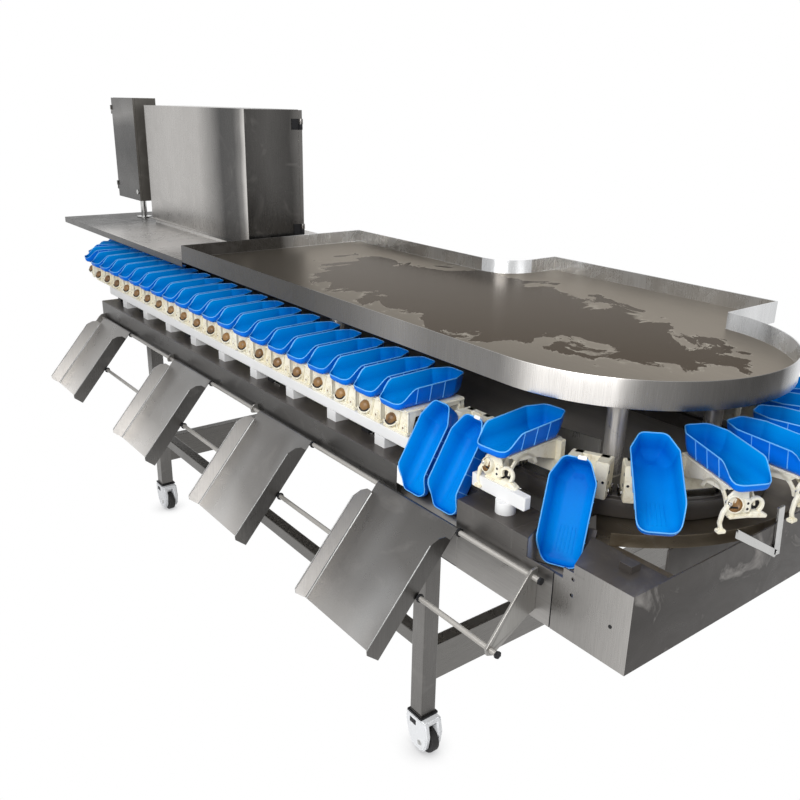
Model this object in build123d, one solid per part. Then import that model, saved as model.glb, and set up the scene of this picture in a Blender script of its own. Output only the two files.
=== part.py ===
"""Fruit and vegetable grading machine: a loop of tipping trays round a sorting table, on a wheeled frame.

Millimetres. X runs along the machine, +X to the rounded loading end. Z is up, the floor is Z = 0 and the
origin is under the middle of the machine. Trays run along -Y and +Y and turn round both ends.
"""

import os
from math import atan2, cos, degrees, pi, radians, sin

from build123d import *

# Tray line
PITCH = 120.0
STRAIGHT_TRAYS = 22
TURN_TRAYS = 9
R_CHAIN = PITCH * TURN_TRAYS / pi
LOOP_X = 110.0
X_FRONT = LOOP_X + PITCH * STRAIGHT_TRAYS / 2
X_REAR = LOOP_X - PITCH * STRAIGHT_TRAYS / 2
FIRST_TRAY = 90.0
TURN_STEP = 180.0 / TURN_TRAYS

# Tipping tray, drawn for the -Y straight with the chain along X
PIVOT_Y = -371.0
PIVOT_Z = 868.0
PIN_R = 4.0
PIN_GAP = 0.05
TIP_ANGLE = 58.0
SIDE_TIP = 63.0
CORNER_TIP = 26.0
TRAY_OUT = -556.0
TRAY_IN = -329.0
TRAY_HALF = 43.0
TRAY_CORNER = (20.0, 40.0)
TRAY_BOTTOM = 960.0
TRAY_WALL = 2.5
TRAY_FLARE = -10.0
TRAY_LOW = 980.0
TRAY_HIGH = 1016.0
TRAY_BACK = 1022.0
RIM_FALL = (-550.0, -504.0)
ARM_HALF = 12.0
# Outline of the lug under a tipping tray as (y, z) from its pivot
LUG = ((-10, -10), (10, -10), (10, 93), (-40, 93), (-10, 40))

# Carrier: section of a plain one, side of a hinged one, as (y, z)
CARRIER_HALF = 50.0
CARRIER_SLOT = 19.0
CHANNEL = (
    (-532, 888), (-532, 960), (-333, 960), (-333, 872), (-353, 872), (-353, 940), (-512, 940), (-512, 888),
)
CHEEK = ((-398, 854), (-398, 905), (-386, 940), (-333, 940), (-333, 872), (-356, 872), (-356, 854))
CHEEK_BACK = (-353.0, -333.0, 872.0, 940.0)
CUP_X = -19.5
CUP_Z = 919.0
CUP_R = 15.0
CHAIN_BASE = 850.0
CHAIN_TOP = 872.0
CHAIN_HALF = 9.0
LINK_HALF = 56.0

# Frame
DECK_Z = 825.0
FRAME_HALF = 570.0
STRIP_IN = 455.0
FASCIA = 90.0
FASCIA_FRONT = 180.0
X_DEEP = 1405.0
SHEET = 4.0
LIP = 25.0
BOTTOM_FLANGE = 50.0
INNER_T = 3.0
INNER_X0 = 404.0
INNER_HOLE = 31.0
FRAME_REAR = -1070.0
BOX_X = 1710.0
FRAME_FRONT = 1910.0
SEAM = 2.0
SPLICE = 42.0
LEG = 50.0
LEG_WALL = 3.0
LEG_XS = (1270.0, -530.0)
LEG_Y = FRAME_HALF - LEG / 2
LEG_BOTTOM = 118.0
CROSS_XS = (-530.0, 370.0, 1270.0, 1556.0)
CROSS_W = 60.0
CROSS_Z0 = 739.0
CROSS_Z1 = 800.0
CROSS_SHORT = -490.0
FRONT_DROP = 20.0
STRETCH_Z0 = 220.0
STRETCH_Z1 = 330.0
STRETCH_D = 40.0
SIDE_TUBE_Z0 = 322.0
SIDE_TUBE = 40.0
ARM_Y = 200.0
ARM_W = 50.0
ARM_REAR = -1330.0
ARM_Z0 = 752.0

# Rails and turns
RAIL_Y = 522.0
RAIL_W = 20.0
RAIL_Z0 = 855.0
RAIL_Z1 = 888.0
RAIL_GAP = (1158.0, 1405.0)
RAIL_END = 1578.0
BLOCK_X0 = 1035.0
BLOCK_STEP = 239.0
BLOCKS = 9
BLOCK_L = 45.0
BLOCK_IN = 458.0
POST_X = 1511.0
POST_R = 24.0
# Cut-outs for trays that tip, in the deck strip and fascia: x from, x to, inner y, lowest z
TIP_CUTS = (
    (1161.0, 1399.0, -501.0, 750.0), (1584.0, 1735.0, -450.0, 780.0), (1735.0, 1790.0, -450.0, 805.0),
)
X_PAN = 1343.0
PAN_IN = 355.0
PAN_OUT = 547.0
PAN_Z = 790.0
PAN_RIM = 32.0
PAN_SPAN = 50.0
PAN_RIM_SPAN = 47.0
PAN_T = 3.0
STRAP_YS = (385.0, 425.0)
STRAP_REACH = 250.0
EDGING = 6.0
EDGING_T = 5.0
STOP = (1839.0, -493.0, 15.0, 16.0)
GUIDE_HALF = 24.0
GUIDE_TOP = 846.0

# Table and upper deck
TABLE_HALF = 430.0
TABLE_REAR = -458.0
X_HEAD = 1390.0
TABLE_FLOOR = 1100.0
RIM_Z0 = 1082.0
RIM_Z1 = 1150.0
RIM_T = 4.0
WING_X0 = 510.0
WING_X1 = 1430.0
WING_Y = 690.0
WING_R = 130.0
POST_TUBE = 25.0
POST_FOOT = 60.0
POST_FOOT_TOP = 862.0
FOOT_BOLT = (6.0, 4.0)
FOOT_BOLT_ZS = (820.0, 842.0)
UPPER_Z = 1090.0
UPPER_REAR = -1993.1
UPPER_LIP = 28.0
UPPER_T = 3.0
DECK_POST = 40.0

# Cabinet and control box
CAB = (-1565.0, -495.0, -109.0, 145.0, 1112.0, 1667.0)
CAB_T = 2.0
PLINTH = 12.0
PLINTH_T = 3.0
FOOT_FLANGE = (60.0, 14.0, 3.0)
DOOR_D = 18.0
DOOR_GAP = 0.5
HINGE_R = 6.0
HINGE_PIN = 3.0
HINGE_OFF = 8.0
HINGE_OUT = 9.0
LEAF = (9.5, 42.0)
LEAF_T = 3.0
KNUCKLE_GAP = (1.0, 0.6)
HINGE_X = CAB[1] + HINGE_OFF
HINGE_Y = CAB[3] + HINGE_OUT
HINGE_ZS = (1170.0, 1608.0)
HINGE_H = 44.0
LATCH_X = -1530.0
LATCH_Z = 1390.0
LATCH_R = 5.0
LATCH_BOSS = 12.0
LATCH_LEVER = (9.0, 14.0, 70.0, 14.0)
LATCH_CAM = (8.0, 4.0, 26.0, 8.0)
CAM_IN = 6.0
FACE_GAP = 0.4
SLIDE_GAP = 0.2
CTRL = (-1960.0, -1650.0, -121.0, -13.0, 1190.0, 1700.0)
COVER_D = 12.0
LOCK_X = -1676.0
LOCK_Z = 1236.0
LOCK_R = 8.0
LOCK_BOSS = 14.0
LOCK_HEAD = (12.0, 4.0)
LOCK_SLOT = (1.0, 2.0, 6.0)
LOCK_CAM = (7.0, 3.0, 9.0, 30.0)
CTRL_HINGE_X = CTRL[0] - HINGE_OFF
CTRL_HINGE_Y = CTRL[2] - HINGE_OUT
CTRL_HINGE_ZS = (1250.0, 1640.0)
CTRL_POST = (-1790.0, -67.0)
CTRL_POST_R = 16.0
CTRL_FLANGE_R = 38.0
CTRL_FLANGE_T = 5.0

# Chutes
ROD_R = 6.5
UPPER_ROD = (-582.5, 752.0)
LOWER_ROD = (-697.0, 616.0)
ROD_X0 = -1060.0
ROD_X1 = 1684.0
PLATE_T = 6.0
PLATE_XS = (1664.0, -1040.0)
PLATE = (
    (-570, 772), (-588, 770), (-600, 760), (-712, 622), (-708, 606), (-692, 600), (-592, 660), (-570, 668),
)
TAB_XS = (412.0, -270.0)
TAB = ((-570, 768), (-584, 768), (-596, 756), (-594, 742), (-570, 738))
CHUTE_XS = (1263.0, 612.0, -68.0, -850.0)
CHUTE_W = 318.0
CHUTE_L = 348.0
CHUTE_WALL = 50.0
CHUTE_T = 2.0
HEM_R = 8.5
ROD_NUT = (9.0, 6.0)
CHUTE_CUT = (26.0, 38.0, 60.0)
CLIP_W = 6.0
CLIP_R = 11.0
CLIP_GAP = 1.5
REST_GAP = 0.3

# Casters
WHEEL_R = 37.5
WHEEL_W = 24.0
AXLE_R = 4.0
TRAIL = 26.0
FORK_PLATE = 5.0
FORK_IN = 13.0
SWIVEL_R = 6.0
CASTER_TOP = 112.0
CASTER_HALF = 30.0
CROWN_R = 27.0
CROWN_Z = 92.0
FORK_SIDE = (
    (-14, 100), (-14, 84), (TRAIL - 12, 26), (TRAIL + 12, 26), (TRAIL + 14, 50), (26, 100),
)

# Drive
SPROCKET_X = 520.0
SPROCKET_R = 96.0
SPROCKET_TEETH = 12
SPROCKET_T = 12.0
TOOTH = (18.0, 20.0)
SHAFT_R = 12.5
GEAR_Z0 = 680.0
GEAR_HALF = 70.0
SHAFT_FLOOR = 20.0
MOTOR_R = 55.0
MOTOR_L = 250.0
TRIP_XS = (930.0, 385.0, -280.0, -760.0)
TRIP_Y = (-506.0, -478.0)
TRIP_HALF = 18.0
TRIP_H = 40.0
PLUNGER = (8.0, 14.0)
CELL_X = (-1040.0, -910.0)
CELL_END = 34.0
CELL_FOOT = 12.0
SPROCKET_Y = R_CHAIN - CHAIN_HALF - 0.6 - SPROCKET_R


def box(x0, x1, y0, y1, z0, z1):
    return Pos((x0 + x1) / 2, (y0 + y1) / 2, (z0 + z1) / 2) * Box(x1 - x0, y1 - y0, z1 - z0)


def round_z(x, y, z0, z1, r):
    return Pos(x, y, (z0 + z1) / 2) * Cylinder(r, z1 - z0)


def round_x(x0, x1, y, z, r):
    return Pos((x0 + x1) / 2, y, z) * Rot(0, 90, 0) * Cylinder(r, x1 - x0)


def round_y(x, y0, y1, z, r):
    return Pos(x, (y0 + y1) / 2, z) * Rot(90, 0, 0) * Cylinder(r, y1 - y0)


def along_x(points, x0, x1):
    """A bar with the given (y, z) section."""
    face = Pos(x0, 0, 0) * (Plane.YZ * Polygon(*points, align=None))
    return extrude(face, x1 - x0, dir=(1, 0, 0))


def tube(x0, x1, y0, y1, z0, z1, wall, axis):
    """A square tube, open at both ends along the given axis."""
    inset = [wall, wall, wall]
    inset["xyz".index(axis)] = 0
    return box(x0, x1, y0, y1, z0, z1) - box(
        x0 + inset[0], x1 - inset[0], y0 + inset[1], y1 - inset[1], z0 + inset[2], z1 - inset[2]
    )


def mirror_y(shape):
    return mirror(shape, Plane.XZ)


def sector(r0, r1, z0, z1, a0, a1, x=X_FRONT):
    """A flat ring segment round a turn centre, from angle a0 to a1 in degrees."""
    mid = (a0 + a1) / 2
    with_arc = [
        Line((r0 * cos(radians(a0)), r0 * sin(radians(a0))), (r1 * cos(radians(a0)), r1 * sin(radians(a0)))),
        ThreePointArc(*[(r1 * cos(radians(a)), r1 * sin(radians(a))) for a in (a0, mid, a1)]),
        Line((r1 * cos(radians(a1)), r1 * sin(radians(a1))), (r0 * cos(radians(a1)), r0 * sin(radians(a1)))),
        ThreePointArc(*[(r0 * cos(radians(a)), r0 * sin(radians(a))) for a in (a1, mid, a0)]),
    ]
    return Pos(x, 0, z0) * extrude(make_face(with_arc), z1 - z0)


def stations():
    """Places of all trays: straight -Y, front turn, straight +Y, rear turn."""
    first_angle = degrees((PITCH - FIRST_TRAY) / R_CHAIN) - 90
    near = [Pos(X_FRONT - FIRST_TRAY - k * PITCH, 0, 0) for k in range(STRAIGHT_TRAYS)]
    front = [Pos(X_FRONT, 0, 0) * Rot(0, 0, first_angle + k * TURN_STEP + 90) for k in range(TURN_TRAYS)]
    far = [Pos(X_REAR + FIRST_TRAY + k * PITCH, 0, 0) * Rot(0, 0, 180) for k in range(STRAIGHT_TRAYS)]
    rear = [Pos(X_REAR, 0, 0) * Rot(0, 0, first_angle + k * TURN_STEP + 270) for k in range(TURN_TRAYS)]
    return near + front + far + rear


def tray_outline(inset):
    """Plan of a tray at its floor: a rectangle with its two inner corners cut."""
    half = TRAY_HALF - inset
    y0 = TRAY_OUT + inset
    y1 = TRAY_IN - inset
    cut_x, cut_y = TRAY_CORNER
    right = [(half, y0), (half, y1 - cut_y), (half - cut_x, y1)]
    left = [(-x, y) for x, y in reversed(right)]
    return Polygon(*right, *left, align=None)


def scoop():
    """A flared scoop with cut inner corners and a rim that falls to the outer lip."""
    height = TRAY_BACK - TRAY_BOTTOM
    outer = Pos(0, 0, TRAY_BOTTOM) * extrude(tray_outline(0), height, taper=TRAY_FLARE)
    inner = Pos(0, 0, TRAY_BOTTOM + TRAY_WALL) * extrude(tray_outline(TRAY_WALL), height, taper=TRAY_FLARE)
    beyond = TRAY_OUT - height
    above = TRAY_BACK + height
    low, high = RIM_FALL
    rim = [
        (beyond, TRAY_LOW), (low, TRAY_LOW), (high, TRAY_HIGH), (TRAY_IN, TRAY_BACK), (TRAY_IN, above),
        (beyond, above),
    ]
    return outer - inner - along_x(rim, -PITCH, PITCH)


def moving_tray():
    """A tray on its lug, bored for the pivot pin."""
    lug = along_x([(PIVOT_Y + y, PIVOT_Z + z) for y, z in LUG], -ARM_HALF, ARM_HALF)
    return scoop() + lug - round_x(-ARM_HALF, ARM_HALF, PIVOT_Y, PIVOT_Z, PIN_R + PIN_GAP)


def tip(shape, angle):
    """Tip a tray outward about its pivot pin."""
    pivot = Pos(0, PIVOT_Y, PIVOT_Z)
    return pivot * Rot(angle, 0, 0) * pivot.inverse() * shape


def plain_carrier():
    """A moulded channel across the line, on the chain and the rail, with a cup in its outer wall."""
    outer = CHANNEL[0][0]
    wall = CHANNEL[-1][0] - outer
    cup = Pos(CUP_X, outer, CUP_Z) * Rot(-90, 0, 0) * extrude(RegularPolygon(CUP_R, 8), wall)
    return along_x(CHANNEL, -CARRIER_HALF, CARRIER_HALF) - cup


def hinged_carrier():
    """Two cheeks with the pivot pin between them, joined over the chain."""
    whole = box(-CARRIER_SLOT, CARRIER_SLOT, *CHEEK_BACK)
    for x0, x1 in ((-CARRIER_HALF, -CARRIER_SLOT), (CARRIER_SLOT, CARRIER_HALF)):
        whole += along_x(CHEEK, x0, x1)
    return whole + round_x(-CARRIER_SLOT, CARRIER_SLOT, PIVOT_Y, PIVOT_Z, PIN_R)


def link():
    y = -R_CHAIN
    return box(-LINK_HALF, LINK_HALF, y - CHAIN_HALF, y + CHAIN_HALF, CHAIN_BASE, CHAIN_TOP)


def pan_section(fascia):
    """Section of the -Y side pan: deck strip with a lip, fascia of the given depth, bottom flange."""
    bottom = DECK_Z - fascia
    return [
        (-FRAME_HALF, bottom), (-FRAME_HALF, DECK_Z), (-STRIP_IN, DECK_Z), (-STRIP_IN, DECK_Z - LIP),
        (-STRIP_IN - SHEET, DECK_Z - LIP), (-STRIP_IN - SHEET, DECK_Z - SHEET),
        (-FRAME_HALF + SHEET, DECK_Z - SHEET), (-FRAME_HALF + SHEET, bottom + SHEET),
        (-FRAME_HALF + BOTTOM_FLANGE, bottom + SHEET), (-FRAME_HALF + BOTTOM_FLANGE, bottom),
    ]


def side_pan():
    """Side pan of the -Y side: shallow along the chutes, deep beside the front turn."""
    shallow = along_x(pan_section(FASCIA), FRAME_REAR, X_DEEP)
    return shallow + along_x(pan_section(FASCIA_FRONT), X_DEEP, BOX_X)


def tip_room(shape):
    """Cut the edge of a -Y pan where trays tip over it."""
    for x0, x1, y1, z0 in TIP_CUTS:
        shape -= box(x0, x1, -FRAME_HALF - SHEET, y1, z0, DECK_Z + SHEET)
    return shape


BOX_HOLES = ((1762.0, 790.0), (1762.0, 752.0))
BOX_HOLE_R = 4.5


def front_box():
    """Box that closes the loading end: two bolt holes in its left face, splice plates to the side pans."""
    bottom = DECK_Z - FASCIA_FRONT
    left = along_x(pan_section(FASCIA_FRONT), BOX_X + SEAM, FRAME_FRONT)
    inside = SHEET - FRAME_HALF
    left += box(BOX_X - SPLICE, BOX_X + SPLICE, inside, inside + SHEET, bottom + LIP, DECK_Z - LIP)
    front = box(FRAME_FRONT - SHEET, FRAME_FRONT, -FRAME_HALF, FRAME_HALF, bottom, DECK_Z)
    whole = tip_room(left) + mirror_y(left) + front
    for x, z in BOX_HOLES:
        whole -= round_y(x, -FRAME_HALF - SHEET, inside + SHEET, z, BOX_HOLE_R)
    return whole


def rear_plate():
    y = FRAME_HALF - SHEET
    plate = box(FRAME_REAR, FRAME_REAR + SHEET, -y, y, DECK_Z - FASCIA + SHEET, CROSS_Z1)
    half = ARM_W / 2
    for mid in (-ARM_Y, ARM_Y):
        plate -= box(FRAME_REAR - SHEET, FRAME_REAR + SHEET, mid - half, mid + half, ARM_Z0, CROSS_Z1)
    return plate


def cross_tubes():
    y = FRAME_HALF - SHEET
    half = CROSS_W / 2
    parts = []
    for x in CROSS_XS:
        drop = FRONT_DROP if x == CROSS_XS[-1] else 0.0
        y0 = CROSS_SHORT if x == LEG_XS[0] else -y
        parts.append(tube(x - half, x + half, y0, y, CROSS_Z0 - drop, CROSS_Z1 - drop, SHEET, "y"))
    return parts


def legs():
    half = LEG / 2
    top = DECK_Z - FASCIA
    parts = []
    for x in LEG_XS:
        for y in (-LEG_Y, LEG_Y):
            parts.append(tube(x - half, x + half, y - half, y + half, LEG_BOTTOM, top, LEG_WALL, "z"))
    return parts


def stretchers():
    """Channels across each pair of legs and tubes along the machine."""
    y = LEG_Y - LEG / 2
    depth = STRETCH_D / 2
    parts = []
    for x in LEG_XS:
        web = box(x - depth, x + depth, -y, y, STRETCH_Z0, STRETCH_Z1)
        web -= box(x - LEG, x + depth - SHEET, -y, y, STRETCH_Z0 + SHEET, STRETCH_Z1 - SHEET)
        parts.append(web)
    x0 = LEG_XS[1] + LEG / 2
    x1 = LEG_XS[0] - LEG / 2
    half = SIDE_TUBE / 2
    z1 = SIDE_TUBE_Z0 + SIDE_TUBE
    for side in (-LEG_Y, LEG_Y):
        parts.append(tube(x0, x1, side - half, side + half, SIDE_TUBE_Z0, z1, LEG_WALL, "x"))
    return parts


def rear_arms():
    x1 = CROSS_XS[0] - CROSS_W / 2
    half = ARM_W / 2
    return [tube(ARM_REAR, x1, y - half, y + half, ARM_Z0, CROSS_Z1, SHEET, "x") for y in (-ARM_Y, ARM_Y)]


def rails():
    """White running strips, open on the -Y side where trays tip."""
    y0 = -RAIL_Y - RAIL_W / 2
    y1 = -RAIL_Y + RAIL_W / 2
    start = FRAME_REAR + RAIL_W / 2
    whole = box(start, RAIL_END, y0, y1, RAIL_Z0, RAIL_Z1)
    main = box(start, RAIL_GAP[0], y0, y1, RAIL_Z0, RAIL_Z1)
    front = box(RAIL_GAP[1], RAIL_END, y0, y1, RAIL_Z0, RAIL_Z1)
    return [main, front, mirror_y(whole)]


def rail_blocks():
    """Blocks under the rails, a round post under each front end and a stop at each front corner."""
    outer = RAIL_Y + RAIL_W / 2
    half = BLOCK_L / 2
    blocks = []
    for k in range(BLOCKS):
        x = BLOCK_X0 - k * BLOCK_STEP
        blocks.append(box(x - half, x + half, -outer, -BLOCK_IN, DECK_Z, RAIL_Z0))
    blocks.append(round_z(POST_X, -RAIL_Y, DECK_Z, RAIL_Z0, POST_R))
    x, y, half, height = STOP
    blocks.append(box(x - half, x + half, y - half, y + half, DECK_Z, DECK_Z + height))
    return blocks + [mirror_y(block) for block in blocks]


def front_turn():
    """Drip pan under the front turn with an upright rim, on two straps to the front box."""
    rim_z = PAN_Z + PAN_RIM
    pan = sector(PAN_IN, PAN_OUT, PAN_Z, PAN_Z + PAN_T, -PAN_SPAN, PAN_SPAN, X_PAN)
    pan += sector(PAN_OUT - PAN_T, PAN_OUT, PAN_Z + PAN_T, rim_z, -PAN_RIM_SPAN, PAN_RIM_SPAN, X_PAN)
    x1 = FRAME_FRONT - SHEET
    strap = box(X_PAN + STRAP_REACH, x1, *STRAP_YS, PAN_Z - SHEET, PAN_Z)
    strap += box(x1 - SHEET, x1, *STRAP_YS, PAN_Z, DECK_Z - SHEET)
    return [pan, strap, mirror_y(strap)]


def racetrack(r):
    half = X_FRONT - LOOP_X
    ends = Pos(half, 0) * Circle(r) + Pos(-half, 0) * Circle(r)
    return Pos(LOOP_X, 0, 0) * (Rectangle(2 * half, 2 * r) + ends)


def ring(half, z0, z1):
    """A band of the given half width under the chain, all round the loop."""
    plan = racetrack(R_CHAIN + half) - racetrack(R_CHAIN - half)
    return Pos(0, 0, z0) * extrude(plan, z1 - z0)


def chain_guide():
    """Guide with a narrow wear strip that the chain slides on."""
    return ring(GUIDE_HALF, CROSS_Z1, GUIDE_TOP) + ring(CHAIN_HALF, GUIDE_TOP, CHAIN_BASE)


def inner_deck():
    """Plate inside the front of the loop, open round the post feet and the drive shaft."""
    r = R_CHAIN - GUIDE_HALF
    plan = Pos((INNER_X0 + X_FRONT) / 2, 0) * Rectangle(X_FRONT - INNER_X0, 2 * r)
    plan += Pos(X_FRONT, 0) * Circle(r)
    for x, y in TABLE_POSTS[:2]:
        plan -= Pos(x, y) * Rectangle(2 * INNER_HOLE, 2 * INNER_HOLE)
    plan -= Pos(SPROCKET_X, SPROCKET_Y) * Circle(INNER_HOLE)
    return Pos(0, 0, CROSS_Z1) * extrude(plan, INNER_T)


def rear_turn():
    """Flat edging round the rear turn, against the chain guide."""
    inner = R_CHAIN + GUIDE_HALF
    return sector(inner, inner + EDGING, DECK_Z - EDGING_T, DECK_Z, 90, 270, X_REAR)


def table_outline(inset):
    half = TABLE_HALF - inset
    shape = Pos((TABLE_REAR + inset + X_HEAD) / 2, 0) * Rectangle(X_HEAD - TABLE_REAR - inset, 2 * half)
    shape += Pos(X_HEAD, 0) * Circle(half)
    wx0 = WING_X0 + inset
    wx1 = WING_X1 - inset
    wy1 = WING_Y - inset
    shape += Pos((wx0 + wx1) / 2, wy1 / 2) * Rectangle(wx1 - wx0, wy1)
    corner_r = WING_R + inset
    corner = Pos(wx0 - corner_r / 2, half + corner_r / 2) * Rectangle(corner_r, corner_r)
    corner -= Pos(wx0 - corner_r, half + corner_r) * Circle(corner_r)
    return shape + corner


def table():
    """Table pan: floor inside an upright rim, round head, wing with a rounded inside corner."""
    rim = extrude(table_outline(0) - table_outline(RIM_T), RIM_Z1 - RIM_Z0)
    floor = extrude(table_outline(RIM_T), UPPER_T)
    return Pos(0, 0, RIM_Z0) * rim + Pos(0, 0, TABLE_FLOOR - UPPER_T) * floor


TABLE_POSTS = ((1556.0, -210.0), (1556.0, 210.0), (370.0, -230.0), (370.0, 230.0))
DECK_POSTS = ((-1290.0, -200.0), (-1290.0, 200.0), (-530.0, -200.0), (-530.0, 200.0))


def table_posts():
    """Round posts, each on a square foot that stands on a cross tube."""
    parts = []
    for x, y in TABLE_POSTS:
        half = POST_FOOT / 2
        base = CROSS_Z1 - FRONT_DROP if x == CROSS_XS[-1] else CROSS_Z1
        foot = box(x - half, x + half, y - half, y + half, base, POST_FOOT_TOP)
        parts.append(foot + round_z(x, y, POST_FOOT_TOP, TABLE_FLOOR - UPPER_T, POST_TUBE))
    return parts


def upper_deck():
    """Folded deck with turned-down sides and rear."""
    x1 = TABLE_REAR - SEAM
    z0 = UPPER_Z - UPPER_LIP
    inner = TABLE_HALF - UPPER_T
    whole = box(UPPER_REAR, x1, -TABLE_HALF, TABLE_HALF, z0, UPPER_Z)
    return whole - box(UPPER_REAR + UPPER_T, x1, -inner, inner, z0, UPPER_Z - UPPER_T)


def deck_posts():
    half = DECK_POST / 2
    top = UPPER_Z - UPPER_T
    return [tube(x - half, x + half, y - half, y + half, CROSS_Z1, top, LEG_WALL, "z") for x, y in DECK_POSTS]


def cabinet_shell():
    """Cabinet open on +Y, on a recessed plinth with a flange along its -Y foot."""
    x0, x1, y0, y1, z0, z1 = CAB
    shell = box(*CAB) - box(x0 + CAB_T, x1 - CAB_T, y0 + CAB_T, y1 + 1, z0 + CAB_T, z1 - CAB_T)
    plinth = tube(x0 + PLINTH, x1 - PLINTH, y0 + PLINTH, y1 - PLINTH, UPPER_Z, z0, PLINTH_T, "z")
    short, out, thick = FOOT_FLANGE
    flange = box(x0, x1 - short, y0 - out, y0, z0, z0 + thick)
    return shell + plinth + flange


def hinge_fixed(x, y, side, zs):
    """Leaf, lower knuckle and pin of each hinge, on the +X face (side 1) or the -X face (side -1)."""
    parts = []
    for z in zs:
        z0 = z - HINGE_H / 2
        top = z - KNUCKLE_GAP[0]
        face = x - side * HINGE_OFF
        span = sorted((y - side * LEAF[0], y - side * LEAF[1]))
        leaf = box(*sorted((face, face + side * LEAF_T)), *span, z0, z0 + HINGE_H)
        bridge = box(*sorted((face, x)), *sorted((y - side * LEAF[0], y)), z0, top)
        knuckle = round_z(x, y, z0, top, HINGE_R)
        parts.append(leaf + bridge + knuckle + round_z(x, y, top, z0 + HINGE_H, HINGE_PIN))
    return parts


def hinge_moving(x, y, side, zs, depth):
    """Upper knuckles that turn on the pins, with a tab back to the door edge."""
    whole = None
    reach = HINGE_OFF + SLIDE_GAP
    for z in zs:
        z0 = z - KNUCKLE_GAP[1]
        z1 = z + HINGE_H / 2
        span = sorted((y - side * HINGE_PIN, y + side * (depth - HINGE_OUT)))
        tab = box(*sorted((x - side * reach, x)), *span, z0, z1)
        knuckle = round_z(x, y, z0, z1, HINGE_R) + tab
        knuckle -= round_z(x, y, z0 - 1, z1 + 1, HINGE_PIN + PIN_GAP)
        whole = knuckle if whole is None else whole + knuckle
    return whole


def cabinet_door():
    """Pan door on +Y, hinged at its +X edge, with a boss for the latch."""
    x0, x1, _, y1, z0, z1 = CAB
    y0 = y1 + DOOR_GAP
    ye = y0 + DOOR_D
    t = CAB_T
    pan = box(x0 + t, x1, y0, ye, z0 + t, z1 - t)
    pan -= box(x0 + 2 * t, x1 - t, y0 - 1, ye - t, z0 + 2 * t, z1 - 2 * t)
    pan += round_y(LATCH_X, y0 + t, ye, LATCH_Z, LATCH_BOSS)
    pan -= round_y(LATCH_X, y0 - 1, ye + 1, LATCH_Z, LATCH_R + PIN_GAP)
    return pan + hinge_moving(HINGE_X, HINGE_Y, 1, HINGE_ZS, DOOR_D)


def cabinet_latch():
    """Quarter-turn handle: spindle through the door, lever outside, cam inside."""
    y0 = CAB[3] - CAM_IN
    y1 = CAB[3] + DOOR_GAP + DOOR_D
    half, deep, down, up = LATCH_LEVER
    lever = box(LATCH_X - half, LATCH_X + half, y1 + FACE_GAP, y1 + deep, LATCH_Z - down, LATCH_Z + up)
    half, thick, down, up = LATCH_CAM
    cam = box(LATCH_X - half, LATCH_X + half, y0 - thick, y0, LATCH_Z - down, LATCH_Z + up)
    return lever + round_y(LATCH_X, y0, y1 + FACE_GAP, LATCH_Z, LATCH_R) + cam


def control_box():
    """Narrow box open on -Y."""
    x0, x1, y0, y1, z0, z1 = CTRL
    return box(*CTRL) - box(x0 + CAB_T, x1 - CAB_T, y0 - 1, y1 - CAB_T, z0 + CAB_T, z1 - CAB_T)


def control_door():
    """Cover of the narrow box, hinged at its -X edge, with a boss for the cam lock."""
    x0, x1, y0, _, z0, z1 = CTRL
    ye = y0 - DOOR_GAP
    ys = ye - COVER_D
    t = CAB_T
    pan = box(x0, x1 - 1, ys, ye, z0 + 1, z1 - 1)
    pan -= box(x0 + t, x1 - 1 - t, ys + t, ye + 1, z0 + 1 + t, z1 - 1 - t)
    pan += round_y(LOCK_X, ys, ye - t, LOCK_Z, LOCK_BOSS)
    pan -= round_y(LOCK_X, ys - 1, ye + 1, LOCK_Z, LOCK_R + PIN_GAP)
    return pan + hinge_moving(CTRL_HINGE_X, CTRL_HINGE_Y, -1, CTRL_HINGE_ZS, DOOR_D)


def control_lock():
    """Cam lock: slotted round head, barrel, cam behind the edge of the box."""
    face = CTRL[2] - DOOR_GAP - COVER_D
    behind = CTRL[2] + LOCK_R
    r, thick = LOCK_HEAD
    head = round_y(LOCK_X, face - thick, face - FACE_GAP, LOCK_Z, r)
    half, deep, long = LOCK_SLOT
    head -= box(LOCK_X - half, LOCK_X + half, face - thick - 1, face - deep, LOCK_Z - long, LOCK_Z + long)
    barrel = round_y(LOCK_X, face - FACE_GAP, behind, LOCK_Z, LOCK_R)
    half, thick, down, up = LOCK_CAM
    cam = box(LOCK_X - half, LOCK_X + half, behind, behind + thick, LOCK_Z - down, LOCK_Z + up)
    return head + barrel + cam


def control_post():
    """Short tube with a flange on the deck and one under the box."""
    x, y = CTRL_POST
    z0 = UPPER_Z + CTRL_FLANGE_T
    z1 = CTRL[4] - CTRL_FLANGE_T
    flanges = round_z(x, y, UPPER_Z, z0, CTRL_FLANGE_R) + round_z(x, y, z1, CTRL[4], CTRL_FLANGE_R)
    return flanges + round_z(x, y, z0, z1, CTRL_POST_R)


def rods():
    parts = []
    for y, z in (UPPER_ROD, LOWER_ROD):
        parts.append(round_x(ROD_X0, ROD_X1, y, z, ROD_R))
        parts.append(round_x(ROD_X0, ROD_X1, -y, z, ROD_R))
    return parts


def rod_plates():
    """End plates that hold both rods and tabs that hold the upper one."""
    half = PLATE_T / 2
    left = []
    for xs, side in ((PLATE_XS, PLATE), (TAB_XS, TAB)):
        for x in xs:
            plate = along_x(side, x - half, x + half)
            for y, z in (UPPER_ROD, LOWER_ROD):
                plate -= round_x(x - PLATE_T, x + PLATE_T, y, z, ROD_R)
            left.append(plate)
    return left + [mirror_y(plate) for plate in left]


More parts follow.
